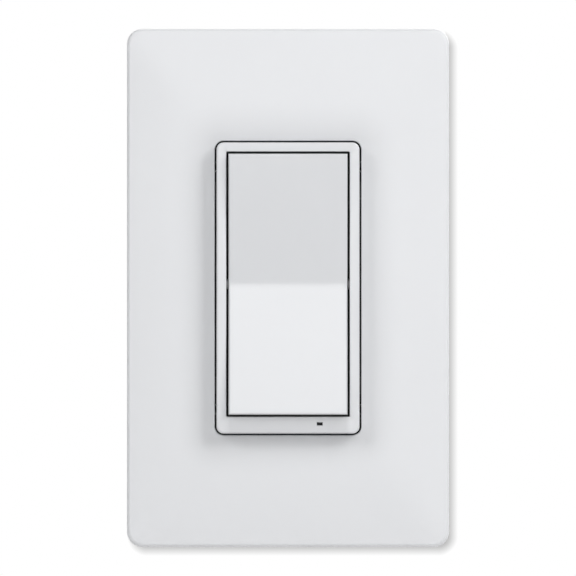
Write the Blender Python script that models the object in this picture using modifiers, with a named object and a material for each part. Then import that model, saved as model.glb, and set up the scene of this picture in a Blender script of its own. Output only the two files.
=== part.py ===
"""A smart dimmer switch: rocker paddle, raised frame, screwless cover plate and everything behind them.

Sizes are in metres. Pieces are laid out in the switch's own directions: X to the right, Y up and
Z out of the wall. Z is 0 on the wall plane, and X and Y are 0 at the middle of the raised frame.
An empty then stands the whole switch up, so that Z out of the wall becomes -Y.
"""

import math

import bmesh
import bpy
from mathutils import Matrix

# Clearances
SEAT_GAP = 0.0003  # between pieces that rest on each other
SOLDER_GAP = 0.0001  # under a soldered part and around the lens
THREAD_GAP = 0.0002  # between a screw and the hole it is driven into
WELD_DISTANCE = 0.000001

# Paddle
PADDLE_WIDTH = 0.02733
PADDLE_HEIGHT = 0.05974
PADDLE_GAP = 0.00045  # open line around the paddle
PADDLE_WALL = 0.0015
PADDLE_EDGE = 0.00025  # rounding of the paddle's edges
PADDLE_DISH = 0.0018  # how far the middle lies behind the ends
PADDLE_PROUD = 0.0016  # how far the ends stand in front of the frame
PADDLE_TRAVEL = 0.00104  # how far each end moves in
PADDLE_FLOOR_GAP = 0.0010  # left under the skirt when an end is pressed
PIVOT_ABOVE_BOARD = 0.0026
TRUNNION_RADIUS = 0.0012
TRUNNION_LENGTH = 0.0022  # past the paddle's side
TRUNNION_LUG = 0.0006  # skirt left below the trunnion
TRUNNION_LUG_HALF = 0.0040
PADDLE_RIB_SIDE = 0.0085
PADDLE_RIB_WALL = 0.0010
PADDLE_RIB_DROP = 0.0006  # below the underside of the V's middle
BUTTON_REACH = 0.0110  # from the pivot to each button
PUSHER_RADIUS = 0.0011
SPRING_END_INSET = 0.00887  # from the paddle's end to each return spring
SPRING_RADIUS = 0.00155  # to the middle of the wire
SPRING_WIRE = 0.00018  # radius
SPRING_TURNS = 4
SPRING_STEPS = 8  # points in a turn
SPRING_POST_RADIUS = 0.0010
SPRING_POST_LENGTH = 0.0015

# Raised frame around the paddle
FRAME_SIDE_STRIP = 0.00223
FRAME_TOP_STRIP = 0.0021
FRAME_BOTTOM_STRIP = 0.00385
FRAME_CORNER = 0.0020
FRAME_EDGE = 0.0005  # rounding of the outer front edge
FRAME_PROUD = 0.0032  # in front of the cover plate
WINDOW_CORNER = 0.0003
WINDOW_EDGE = 0.0002
POCKET_WALL = 0.0015  # frame wall left below the lamp pocket
STRIP_THICKNESS = 0.0014  # frame front left over the lamp pocket
LEG_WIDTH = 0.0034
LEG_THICKNESS = 0.0012
LEG_HOOK = 0.0008
LEG_HOOK_DEPTH = 0.0016
LEG_EMBED = 0.0010
LEG_EDGE_INSET = 0.0003  # from the frame's outer side

# Indicator in the frame's bottom strip
INDICATOR_SIDE = 0.00726
INDICATOR_UP = 0.00222  # above the frame's lower edge
LENS_WIDTH = 0.00115
LENS_HEIGHT = 0.00055
LENS_RECESS = 0.00015
LENS_FOOT_WIDTH = 0.0024
LENS_FOOT_HEIGHT = 0.0009
LENS_FOOT_DEPTH = 0.0008
LED_WIDTH = 0.0016
LED_HEIGHT = 0.0008
LED_DEPTH = 0.0009

# Cover plate, which snaps over the subplate
FRAME_GAP = 0.00045  # open line around the frame
PLATE_SIDE_MARGIN = 0.02067  # from the frame's side to the plate's
PLATE_PAST_STRAP = 0.00635
PLATE_CORNER = 0.0035
PLATE_EDGE_ROUND = 0.0010
PLATE_WALL = 0.0018
PLATE_CROWN = 0.0014  # how far the face rises from its edge to the frame
PLATE_FACE_STEPS = 4
PLATE_EDGE_STEPS = 4
PLATE_LIP = 0.0003  # small slope at the edge of the opening
COLLAR_WALL = 0.0012
SUBPLATE_HOLLOW = 0.0007  # between the subplate and the face's low edge
HOOK_REACH = 0.0009
HOOK_LENGTH = 0.0100
HOOK_SIDE_UP = 0.0340
HOOK_HEIGHT = 0.0010
PRY_NOTCH_SIDE = 0.0170  # to the right of the middle
PRY_NOTCH_WIDTH = 0.0080
PRY_NOTCH_DEPTH = 0.0009

# Subplate under the cover plate
SUBPLATE_THICKNESS = 0.0016
SUBPLATE_SKIRT_INSET = 0.0012
SUBPLATE_SKIRT_WALL = 0.0012
SUBPLATE_OPENING_GAP = 0.0006  # around the frame
SUBPLATE_RIB_WALL = 0.0010
SUBPLATE_SIDE_RIBS = 5  # on each side of the strap
SUBPLATE_RIB_GAP = 0.0010  # between the ribs and the strap

# Strap that carries the switch, and its screws
STRAP_THICKNESS = 0.0012
STRAP_SIDE_MARGIN = 0.0007  # past the rear housing
STRAP_END_MARGIN = 0.0037  # past the frame, before the ears begin
STRAP_CORNER = 0.0020
STRAP_CORNER_STEPS = 3
EAR_HALF_WIDTH = 0.0120
EAR_SHOULDER = 0.0015
MOUNT_SCREW_PAST_FRAME = 0.00837  # gives the standard 83.3 mm between screws
PLATE_SCREW_PAST_MOUNT = 0.00675  # gives the standard 96.8 mm between screws
STRAP_PAST_SCREW = 0.00478
MOUNT_SLOT_HALF = 0.0011  # straight part of the slot, each way
MOUNT_SCREW_LENGTH = 0.0250
MOUNT_SCREW_RADIUS = 0.0017
MOUNT_HEAD_RADIUS = 0.0032
MOUNT_HEAD_HEIGHT = 0.0020
EAR_HOLE_SIDE = 0.0077  # the break-off washer's hole, in line with the plate screw
EAR_HOLE_RADIUS = 0.0016
EAR_SLIT_RADIUS = 0.0005
EAR_SLIT_SPACE = 0.0040  # between that hole and the slits that part the washer from the ear
EAR_SLIT_HALF = 0.0026  # straight part of a slit, each way
PLATE_SCREW_LENGTH = 0.0095
PLATE_SCREW_RADIUS = 0.0017
PLATE_HEAD_RADIUS = 0.0027
PLATE_HEAD_DOME = 0.0005
RETAINER_SIZE = 0.0090
RETAINER_THICKNESS = 0.0008
SCREW_RIM = 0.0005  # straight part at the edge of a round head
SCREW_TIP = 0.0005
DRIVE_SLOT_WIDTH = 0.0009
DRIVE_SLOT_DEPTH = 0.0009
HEAD_STEPS = 16
SMALL_HEAD_STEPS = 12

# Earth tab, bent back from the strap's lower end
TAB_HALF_WIDTH = 0.0040
TAB_LENGTH = 0.0080
TAB_INSET = 0.0004  # from the rear housing's lower side
BEND_RELIEF = 0.0002  # between the tab and the window it was cut from
GROUND_SCREW_BEHIND = 0.0044
GROUND_SCREW_RADIUS = 0.0019
GROUND_SCREW_LENGTH = 0.0052
GROUND_HEAD_RADIUS = 0.0033
GROUND_HEAD_HEIGHT = 0.0020

# Control board and its parts
SHEET_THICKNESS = 0.0003
BOARD_THICKNESS = 0.0010
TACT_SIZE = 0.0060
TACT_HEIGHT = 0.0018
TACT_WELL_DEPTH = 0.0014
TACT_EDGE = 0.0003
BUTTON_RADIUS = 0.0012
BUTTON_PROUD = 0.0009
BUTTON_DOME = 0.0002
BUTTON_FLOOR_GAP = 0.0006
RADIO_WIDTH = 0.0120
RADIO_HEIGHT = 0.0098
RADIO_BASE = 0.0007
RADIO_CAN_DEPTH = 0.0012
RADIO_CAN_INSET = 0.0006

# Rear housing
HOUSING_SIDE_MARGIN = 0.00517  # past the frame
HOUSING_END_INSET = 0.0013  # short of the frame
HOUSING_DEPTH = 0.0258
HOUSING_WALL = 0.0018
HOUSING_BACK = 0.0020
HOUSING_DRAFT = 0.0005
HOUSING_CORNER = 0.0025
HOUSING_EDGE = 0.0006
HOUSING_FLANGE_PROUD = 0.0004
HOUSING_FLANGE_DEPTH = 0.0024
REAR_FIELD_MARGIN = 0.0075  # from the housing's side and end to the sunk field in its rear
REAR_FIELD_DEPTH = 0.0004
REAR_FIELD_CORNER = 0.0015
STRIP_GAUGE_LENGTH = 0.0127  # length of bare wire that the terminals take
STRIP_GAUGE_WIDTH = 0.0024
STRIP_GAUGE_DEPTH = 0.0006
STRIP_GAUGE_INSET = 0.0042  # from the housing's lower end
INNER_WALL = 0.0012
BOSS_INSET = 0.0040
BOSS_RADIUS = 0.0026
HOUSING_SCREW_RADIUS = 0.00125
HOUSING_HEAD_RADIUS = 0.0020
HOUSING_HEAD_HEIGHT = 0.0014
COUNTERBORE_DEPTH = 0.0017
LEG_ZONE = 0.0060  # between the corner bosses and the terminal wells
NOTCH_MARGIN = 0.0014  # around the earth tab
NOTCH_HEIGHT = 0.0060

# Terminals in the housing's side wells
WELL_HEIGHT = 0.0100
WELL_DEPTH = 0.0104
WELL_INSET = 0.0086
WELL_BOARD_GAP = 0.0005
TERMINAL_HALF_HEIGHT = 0.0042
TERMINAL_THICKNESS = 0.0012
TERMINAL_TAIL_HALF = 0.0015
TERMINAL_FACE_GAP = 0.0010  # where the wire goes, between clamp and terminal
TAIL_PAST_BOARD = 0.0006
CLAMP_THICKNESS = 0.0010
CLAMP_HALF = 0.0040
TERMINAL_SCREW_RADIUS = 0.0018
TERMINAL_SCREW_LENGTH = 0.0060
TERMINAL_HEAD_RADIUS = 0.0034
TERMINAL_HEAD_HEIGHT = 0.0019
TERMINAL_HEAD_INSET = 0.0004  # inside the housing's side

# Power board and its parts
POWER_BOARD_THICKNESS = 0.0016
BOARD_STANDOFF = 0.0026
BOARD_EDGE_GAP = 0.0004
POST_RADIUS = 0.0015
POST_SIDE = 0.0090
POST_END_INSET = 0.0060
ROW_SPACE = 0.0015  # between rows of parts
HEADER_INSET = 0.0029  # from the housing's inner top side
HEADER_PINS = 5
PIN_PITCH = 0.00254
PIN_SIZE = 0.00064
HEADER_STRIP_HEIGHT = 0.0024
HEADER_STRIP_DEPTH = 0.0085
HEADER_HOLE_MARGIN = 0.0005
CAPACITOR_RADIUS = 0.0032
CAPACITOR_LENGTH = 0.0110
CAPACITOR_BEAD = 0.0004
FUSE_WIDTH = 0.0084
FUSE_HEIGHT = 0.0038
FUSE_DEPTH = 0.0080
VARISTOR_RADIUS = 0.0045
VARISTOR_THICKNESS = 0.0035
VARISTOR_LEAD_LENGTH = 0.0012
TRANSFORMER_WIDTH = 0.0140
TRANSFORMER_HEIGHT = 0.0120
TRANSFORMER_DEPTH = 0.0085
TRANSFORMER_CORE_DEPTH = 0.0050
BOBBIN_INSET = 0.0020
FILM_WIDTH = 0.0130
FILM_HEIGHT = 0.0054
FILM_DEPTH = 0.0080
FILM_EDGE = 0.0006
CHOKE_RADIUS = 0.0050
CHOKE_SECTION = 0.0022
CHOKE_TURNS = 12
CHOKE_GROOVE = 0.82  # ring size between turns, as a share of the turn
PAD_THICKNESS = 0.0003
TRIAC_WIDTH = 0.0100
TRIAC_TAB_HEIGHT = 0.0065
TRIAC_BODY_HEIGHT = 0.0092
TRIAC_TAB_THICKNESS = 0.0013
TRIAC_THICKNESS = 0.0044
TRIAC_LEAD_PITCH = 0.00254
TRIAC_LEAD_WIDTH = 0.0008
TRIAC_LEAD_THICKNESS = 0.0005
RIVET_RADIUS = 0.0014
RIVET_HEAD_RADIUS = 0.0024
RIVET_HEAD_HEIGHT = 0.0009

# Worked out from the sizes above: the view from the front
window_half_width = PADDLE_WIDTH / 2 + PADDLE_GAP
window_half_height = PADDLE_HEIGHT / 2 + PADDLE_GAP
frame_half_width = window_half_width + FRAME_SIDE_STRIP
frame_half_height = window_half_height + (FRAME_TOP_STRIP + FRAME_BOTTOM_STRIP) / 2
paddle_up = (FRAME_BOTTOM_STRIP - FRAME_TOP_STRIP) / 2
spring_reach = PADDLE_HEIGHT / 2 - SPRING_END_INSET
mount_screw_up = frame_half_height + MOUNT_SCREW_PAST_FRAME
plate_screw_up = mount_screw_up + PLATE_SCREW_PAST_MOUNT
strap_half_height = plate_screw_up + STRAP_PAST_SCREW
plate_half_width = frame_half_width + PLATE_SIDE_MARGIN
plate_half_height = strap_half_height + PLATE_PAST_STRAP
housing_half_width = frame_half_width + HOUSING_SIDE_MARGIN
housing_half_height = frame_half_height - HOUSING_END_INSET
strap_half_width = housing_half_width + STRAP_SIDE_MARGIN
strap_main_half_height = frame_half_height + STRAP_END_MARGIN
leg_side = frame_half_width - LEG_EDGE_INSET - LEG_THICKNESS / 2
boss_side = housing_half_width - BOSS_INSET
boss_up = housing_half_height - BOSS_INSET
well_edge = boss_up - BOSS_RADIUS - LEG_ZONE
leg_up = well_edge + LEG_ZONE / 2
terminal_up = well_edge - INNER_WALL - WELL_HEIGHT / 2

# The stack in front of the wall plane
sheet_back = STRAP_THICKNESS + SEAT_GAP
board_back = sheet_back + SHEET_THICKNESS + SEAT_GAP
board_front = board_back + BOARD_THICKNESS
soldered_back = board_front + SOLDER_GAP
subplate_back = STRAP_THICKNESS + SEAT_GAP
subplate_front = subplate_back + SUBPLATE_THICKNESS
frame_back = STRAP_THICKNESS + SEAT_GAP
plate_edge_out = subplate_front + SUBPLATE_HOLLOW + PLATE_WALL
plate_middle_out = plate_edge_out + PLATE_CROWN
frame_front = plate_middle_out + FRAME_PROUD
paddle_end_out = frame_front + PADDLE_PROUD
paddle_middle_out = paddle_end_out - PADDLE_DISH
pivot_out = board_front + PIVOT_ABOVE_BOARD
tact_front = soldered_back + TACT_HEIGHT
button_tip = tact_front + BUTTON_PROUD

# The stack behind the wall plane
housing_rim = -SEAT_GAP
housing_back = housing_rim - HOUSING_DEPTH
power_back = housing_back + HOUSING_BACK + BOARD_STANDOFF
power_front = power_back + POWER_BOARD_THICKNESS
power_seat = power_front + SOLDER_GAP
well_rear = power_front + WELL_BOARD_GAP + INNER_WALL
well_front = well_rear + WELL_DEPTH
well_middle = (well_front + well_rear) / 2
tail_end = power_back - TAIL_PAST_BOARD

# Rows of parts on the power board, from the top down
inner_top = housing_half_height - HOUSING_WALL
header_up = inner_top - HEADER_INSET
small_row_low = well_edge + ROW_SPACE
transformer_top = small_row_low - ROW_SPACE
film_top = transformer_top - TRANSFORMER_HEIGHT - ROW_SPACE
lead_up = film_top - FILM_HEIGHT - ROW_SPACE
choke_up = lead_up - ROW_SPACE - CHOKE_RADIUS - CHOKE_SECTION

PARTS = "smart_dimmer_switch"
CUTTERS = "cutters"
HOLDER = "switch_frame"
CORNER_STEPS = 6
ALONG_X = (0.0, math.pi / 2, 0.0)
ALONG_MINUS_X = (0.0, -math.pi / 2, 0.0)
ALONG_MINUS_Y = (math.pi / 2, 0.0, 0.0)
ALONG_MINUS_Z = (math.pi, 0.0, 0.0)
SMOOTH_ANGLE = math.radians(40)
# Turns a profile of (up, out) points so that it is drawn across the switch's width
ACROSS = Matrix(((0, 0, 1, 0), (1, 0, 0, 0), (0, 1, 0, 0), (0, 0, 0, 1)))


def clear_scene():
    for item in list(bpy.data.objects):
        bpy.data.objects.remove(item, do_unlink=True)


def prepare_scene():
    for name in (PARTS, CUTTERS):
        made = bpy.data.collections.new(name)
        bpy.context.scene.collection.children.link(made)
    holder = bpy.data.objects.new(HOLDER, None)
    holder.rotation_euler = (math.pi / 2, 0.0, 0.0)
    bpy.data.collections[PARTS].objects.link(holder)


# Materials


def make_material(name, colour, roughness, metallic=0.0):
    made = bpy.data.materials.get(name)
    if made is None:
        made = bpy.data.materials.new(name)
        made.use_nodes = True
        surface = made.node_tree.nodes["Principled BSDF"]
        surface.inputs["Base Color"].default_value = (*colour, 1.0)
        surface.inputs["Roughness"].default_value = roughness
        surface.inputs["Metallic"].default_value = metallic
    return made


def plate_white():
    return make_material("plate_white", (0.84, 0.85, 0.87), 0.45)


def frame_white():
    return make_material("frame_white", (0.84, 0.85, 0.87), 0.35)


def paddle_white():
    return make_material("paddle_white", (0.85, 0.86, 0.88), 0.30)


def subplate_white():
    return make_material("subplate_white", (0.78, 0.79, 0.80), 0.55)


def housing_grey():
    return make_material("housing_grey", (0.16, 0.165, 0.17), 0.50)


def strap_metal():
    return make_material("strap_metal", (0.72, 0.73, 0.74), 0.38, 1.0)


def screw_steel():
    return make_material("screw_steel", (0.62, 0.63, 0.64), 0.30, 1.0)


def white_screw():
    return make_material("white_screw", (0.82, 0.83, 0.84), 0.35)


def green_screw():
    return make_material("green_screw", (0.06, 0.32, 0.12), 0.35, 0.6)


def brass():
    return make_material("brass", (0.72, 0.53, 0.22), 0.32, 1.0)


def copper():
    return make_material("copper", (0.72, 0.33, 0.14), 0.35, 1.0)


def spring_steel():
    return make_material("spring_steel", (0.55, 0.56, 0.58), 0.25, 1.0)


def fibre():
    return make_material("fibre", (0.42, 0.28, 0.16), 0.85)


def insulating_film():
    return make_material("insulating_film", (0.80, 0.78, 0.66), 0.45)


def board_green():
    return make_material("board_green", (0.03, 0.17, 0.08), 0.45)


def dark_plastic():
    return make_material("dark_plastic", (0.03, 0.03, 0.035), 0.50)


def ferrite():
    return make_material("ferrite", (0.05, 0.05, 0.055), 0.60)


def lens_dark():
    return make_material("lens_dark", (0.02, 0.02, 0.025), 0.15)


def lamp_clear():
    return make_material("lamp_clear", (0.75, 0.78, 0.70), 0.20)


def silicone_grey():
    return make_material("silicone_grey", (0.45, 0.47, 0.50), 0.80)


def film_yellow():
    return make_material("film_yellow", (0.70, 0.50, 0.08), 0.50)


def sleeve_black():
    return make_material("sleeve_black", (0.02, 0.025, 0.05), 0.40)


def varistor_blue():
    return make_material("varistor_blue", (0.04, 0.11, 0.35), 0.45)


# Outlines


def mix(start, end, share):
    return start + (end - start) * share


def arc(centre, radius, start, end, steps):
    """Points along part of a circle, between two angles in degrees."""
    points = []
    for step in range(steps + 1):
        angle = math.radians(mix(start, end, step / steps))
        x = centre[0] + radius * math.cos(angle)
        points.append((x, centre[1] + radius * math.sin(angle)))
    return points


def rounded_rectangle(half_width, half_height, radius, steps=CORNER_STEPS):
    """Points around a rectangle with round corners, anticlockwise from its right side."""
    corners = (
        (half_width - radius, half_height - radius, 0.0),
        (radius - half_width, half_height - radius, 90.0),
        (radius - half_width, radius - half_height, 180.0),
        (half_width - radius, radius - half_height, 270.0),
    )
    points = []
    for x, y, start in corners:
        points.extend(arc((x, y), radius, start, start + 90.0, steps))
    return points


def circle(radius, centre=(0.0, 0.0), steps=16):
    turn = 2 * math.pi / steps
    return [
        (centre[0] + radius * math.cos(step * turn), centre[1] + radius * math.sin(step * turn))
        for step in range(steps)
    ]


def rectangle(half_width, half_height, centre=(0.0, 0.0)):
    x, y = centre
    return [
        (x + half_width, y + half_height),
        (x - half_width, y + half_height),
        (x - half_width, y - half_height),
        (x + half_width, y - half_height),
    ]


def long_hole(radius, half_length, centre, steps=8):
    """A slot with round ends that runs across the switch."""
    points = []
    for side, start in ((1, -90.0), (-1, 90.0)):
        middle = (centre[0] + side * half_length, centre[1])
        points.extend(arc(middle, radius, start, start + 180.0, steps))
    return points


def upright(outline):
    """The outline with its two directions exchanged."""
    return [(y, x) for x, y in outline]


def moved(outline, across, up):
    return [(x + across, y + up) for x, y in outline]


def ring(half_width, half_height, radius, out, up=0.0):
    """One section of a loft: a rounded rectangle at a height above the wall plane."""
    return [(x, y + up, out) for x, y in rounded_rectangle(half_width, half_height, radius)]


# Meshes


def finished_mesh(name, shape):
    bmesh.ops.recalc_face_normals(shape, faces=shape.faces)
    mesh = bpy.data.meshes.new(name)
    shape.to_mesh(mesh)
    shape.free()
    mesh.shade_smooth()
    mesh.set_sharp_from_angle(angle=SMOOTH_ANGLE)
    return mesh


def block_mesh(name, width, height, depth):
    shape = bmesh.new()
    bmesh.ops.create_cube(shape, size=1.0)
    bmesh.ops.scale(shape, vec=(width, height, depth), verts=shape.verts)
    return finished_mesh(name, shape)


def rod_mesh(name, radius, length, steps=16, end_radius=None):
    """A cylinder along Z, or a cone with radius at its rear end and end_radius at its front."""
    shape = bmesh.new()
    bmesh.ops.create_cone(
        shape,
        cap_ends=True,
        segments=steps,
        radius1=radius,
        radius2=radius if end_radius is None else end_radius,
        depth=length,
    )
    return finished_mesh(name, shape)


def loft_mesh(name, rings, closed):
    """Skins a list of sections. A closed loft is a hollow frame: its last section meets its first."""
    shape = bmesh.new()
    rows = [[shape.verts.new(point) for point in points] for points in rings]
    pairs = list(zip(rows, rows[1:]))
    if closed:
        pairs.append((rows[-1], rows[0]))
    for first, second in pairs:
        for index in range(len(first)):
            after = (index + 1) % len(first)
            shape.faces.new((first[index], first[after], second[after], second[index]))
    if not closed:
        shape.faces.new(rows[0])
        shape.faces.new(rows[-1])
    return finished_mesh(name, shape)


def even_out_caps(shape):
    """Turns edges in the flat ends of a filled outline, which has triangles with no area."""
    caps = [face for face in shape.faces if len({round(v.co.z, 7) for v in face.verts}) == 1]
    inner = [edge for edge in shape.edges if all(face in caps for face in edge.link_faces)]
    bmesh.ops.beautify_fill(shape, faces=caps, edges=inner)


def mesh_of_curve(name, curve):
    """The welded mesh of a curve, which is then removed."""
    drawn = bpy.data.objects.new(name, curve)
    bpy.context.scene.collection.objects.link(drawn)
    bpy.context.view_layer.update()
    graph = bpy.context.evaluated_depsgraph_get()
    mesh = bpy.data.meshes.new_from_object(drawn.evaluated_get(graph))
    bpy.data.objects.remove(drawn)
    bpy.data.curves.remove(curve)
    shape = bmesh.new()
    shape.from_mesh(mesh)
    bpy.data.meshes.remove(mesh)
    bmesh.ops.remove_doubles(shape, verts=shape.verts, dist=WELD_DISTANCE)
    even_out_caps(shape)
    return finished_mesh(name, shape)


def outline_mesh(name, outlines, thickness):
    """A flat piece of even thickness. The first outline is its edge and the others are holes."""
    curve = bpy.data.curves.new(name, "CURVE")
    curve.dimensions = "2D"
    curve.fill_mode = "BOTH"
    curve.extrude = thickness / 2
    for outline in outlines:
        spline = curve.splines.new("POLY")
        spline.points.add(len(outline) - 1)
        for point, (x, y) in zip(spline.points, outline):
            point.co = (x, y, 0.0, 1.0)
        spline.use_cyclic_u = True
    return mesh_of_curve(name, curve)


def profile_mesh(name, outline, width):
    """A profile of (up, out) points, drawn across the switch's width."""
    mesh = outline_mesh(name, [outline], width)
    mesh.transform(ACROSS)
    return mesh


def turned_mesh(name, profile):
    """A chain of (radius, height) points, top to bottom, for turn() to sweep round Z."""
    shape = bmesh.new()
    points = [shape.verts.new((radius, 0.0, height)) for radius, height in profile]
    for first, second in zip(points, points[1:]):
        shape.edges.new((first, second))
    return finished_mesh(name, shape)


# Objects and modifiers


def place(name, data, material, location=(0.0, 0.0, 0.0), rotation=(0.0, 0.0, 0.0)):
    data.materials.append(material)
    piece = bpy.data.objects.new(name, data)
    piece.location = location
    piece.rotation_euler = rotation
    piece.parent = bpy.data.objects[HOLDER]
    bpy.data.collections[PARTS].objects.link(piece)
    return piece


def helper(name, mesh, location=(0.0, 0.0, 0.0), rotation=(0.0, 0.0, 0.0)):
    """A shape that is cut from a piece or joined to it, and isn't a piece itself."""
    made = bpy.data.objects.new(name, mesh)
    made.location = location
    made.rotation_euler = rotation
    made.parent = bpy.data.objects[HOLDER]
    made.hide_render = True
    made.display_type = "WIRE"
    bpy.data.collections[CUTTERS].objects.link(made)
    return made


def combine(piece, other, operation):
    boolean = piece.modifiers.new(other.name, "BOOLEAN")
    boolean.operation = operation
    boolean.object = other


def cut(piece, cutter):
    combine(piece, cutter, "DIFFERENCE")


def join(piece, addition):
    combine(piece, addition, "UNION")


def round_edges(piece, width, segments=1):
    bevel = piece.modifiers.new("round_edges", "BEVEL")
    bevel.width = width
    bevel.segments = segments
    bevel.limit_method = "ANGLE"
    bevel.angle_limit = SMOOTH_ANGLE


def turn(piece, steps):
    screw = piece.modifiers.new("turned", "SCREW")
    screw.angle = 2 * math.pi
    screw.steps = steps
    screw.render_steps = steps
    screw.use_merge_vertices = True
    screw.merge_threshold = WELD_DISTANCE


def block(name, centre, size):
    """A helper box given by its centre and its size, both across, up and out."""
    return helper(name, block_mesh(name, *size), centre)


# Screws


def dome_points(radius, base, height, steps=3):
    """The quarter ellipse of a round head, from its top down to its rim."""
    points = []
    for step in range(steps + 1):
        angle = math.radians(90.0 * step / steps)
        points.append((radius * math.sin(angle), base + height * math.cos(angle)))
    return points


def shank_points(radius, start, length):
    return [
        (radius, start),
        (radius, SCREW_TIP - length),
        (radius - SCREW_TIP, -length),
        (0.0, -length),
    ]


def add_screw(name, profile, material, location, rotation, steps):
    """A slotted screw whose head points along Z. Its profile starts at the top of the head."""
    piece = place(name, turned_mesh(name, profile), material, location, rotation)
    turn(piece, steps)
    top = profile[0][1]
    widest = max(radius for radius, height in profile)
    mesh = block_mesh(name + "_slot", 3 * widest, DRIVE_SLOT_WIDTH, 2 * DRIVE_SLOT_DEPTH)
    slot = helper(name + "_slot", mesh)
    slot.parent = piece
    slot.location = (0.0, 0.0, top)
    cut(piece, slot)
    return piece


def round_head_screw(
    name, material, location, rotation, head_radius, head_height, radius, length, steps
):
    """The seat under the head is at the screw's origin."""
    profile = dome_points(head_radius, SCREW_RIM, head_height - SCREW_RIM)
    profile.append((head_radius, 0.0))
    profile.extend(shank_points(radius, 0.0, length))
    return add_screw(name, profile, material, location, rotation, steps)


def mounting_screws():
    for place_name, side in (("top", 1), ("bottom", -1)):
        round_head_screw(
            "mounting_screw_" + place_name,
            screw_steel(),
            (0.0, side * mount_screw_up, STRAP_THICKNESS + SEAT_GAP),
            (0.0, 0.0, 0.0),
            MOUNT_HEAD_RADIUS,
            MOUNT_HEAD_HEIGHT,
            MOUNT_SCREW_RADIUS,
            MOUNT_SCREW_LENGTH,
            HEAD_STEPS,
        )


def plate_screws():
    """Oval heads, sunk in the subplate and driven into the strap."""
    profile = dome_points(PLATE_HEAD_RADIUS, 0.0, PLATE_HEAD_DOME)
    cone = PLATE_HEAD_RADIUS - PLATE_SCREW_RADIUS
    profile.extend(shank_points(PLATE_SCREW_RADIUS, -cone, PLATE_SCREW_LENGTH))
    for place_name, side in (("top", 1), ("bottom", -1)):
        location = (0.0, side * plate_screw_up, subplate_front)
        add_screw(
            "plate_screw_" + place_name,
            profile,
            white_screw(),
            location,
            (0.0, 0.0, 0.0),
            HEAD_STEPS,
        )


def ground_screw():
    tab_low = TAB_INSET - housing_half_height
    round_head_screw(
        "ground_screw",
        green_screw(),
        (0.0, tab_low - SEAT_GAP, -GROUND_SCREW_BEHIND),
        ALONG_MINUS_Y,
        GROUND_HEAD_RADIUS,
        GROUND_HEAD_HEIGHT,
        GROUND_SCREW_RADIUS,
        GROUND_SCREW_LENGTH,
        SMALL_HEAD_STEPS,
    )


def housing_screws():
    """Long screws that run through the housing's corner bosses into the strap."""
    seat = housing_back + COUNTERBORE_DEPTH
    corners = ((-1, 1), (1, 1), (-1, -1), (1, -1))
    for number, (across, up) in enumerate(corners, 1):
        round_head_screw(
            f"housing_screw_{number}",
            screw_steel(),
            (across * boss_side, up * boss_up, seat - SEAT_GAP),
            ALONG_MINUS_Z,
            HOUSING_HEAD_RADIUS,
            HOUSING_HEAD_HEIGHT,
            HOUSING_SCREW_RADIUS,
            STRAP_THICKNESS - THREAD_GAP - seat + SEAT_GAP,
            SMALL_HEAD_STEPS,
        )


# Cover plate and subplate


def plate_face_out(share):
    """Height of the cover plate's face. The share is 0 at the frame and 1 at the plate's edge."""
    return plate_middle_out - PLATE_CROWN * share**2


def cover_plate_rings():
    """The plate's section, from its rear rim over the face and back along its inside."""
    opening_half_width = frame_half_width + FRAME_GAP
    opening_half_height = frame_half_height + FRAME_GAP
    opening_corner = FRAME_CORNER + FRAME_GAP
    collar_back = subplate_front + SEAT_GAP
    rings = [ring(plate_half_width, plate_half_height, PLATE_CORNER, 0.0)]
    for step in range(PLATE_EDGE_STEPS + 1):
        angle = math.radians(90.0 * step / PLATE_EDGE_STEPS)
        inset = PLATE_EDGE_ROUND * (1 - math.cos(angle))
        out = plate_edge_out - PLATE_EDGE_ROUND * (1 - math.sin(angle))
        rings.append(
            ring(plate_half_width - inset, plate_half_height - inset, PLATE_CORNER - inset, out)
        )
    for step in range(1, PLATE_FACE_STEPS + 1):
        share = step / PLATE_FACE_STEPS
        half_width = mix(
            plate_half_width - PLATE_EDGE_ROUND, opening_half_width + PLATE_LIP, share
        )
        half_height = mix(
            plate_half_height - PLATE_EDGE_ROUND, opening_half_height + PLATE_LIP, share
        )
        corner = mix(PLATE_CORNER - PLATE_EDGE_ROUND, opening_corner + PLATE_LIP, share)
        rings.append(ring(half_width, half_height, corner, plate_face_out(1 - share)))
    lip_out = plate_middle_out - PLATE_LIP
    rings.append(ring(opening_half_width, opening_half_height, opening_corner, lip_out))
    rings.append(ring(opening_half_width, opening_half_height, opening_corner, collar_back))
    collar_half_width = opening_half_width + COLLAR_WALL
    collar_half_height = opening_half_height + COLLAR_WALL
    collar_corner = opening_corner + COLLAR_WALL
    rings.append(ring(collar_half_width, collar_half_height, collar_corner, collar_back))
    inner_corner = PLATE_CORNER - PLATE_WALL
    for step in range(PLATE_FACE_STEPS + 1):
        share = step / PLATE_FACE_STEPS
        half_width = mix(collar_half_width, plate_half_width - PLATE_WALL, share)
        half_height = mix(collar_half_height, plate_half_height - PLATE_WALL, share)
        corner = mix(collar_corner, inner_corner, share)
        rings.append(ring(half_width, half_height, corner, plate_face_out(share) - PLATE_WALL))
    rings.append(
        ring(plate_half_width - PLATE_WALL, plate_half_height - PLATE_WALL, inner_corner, 0.0)
    )
    return rings


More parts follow.
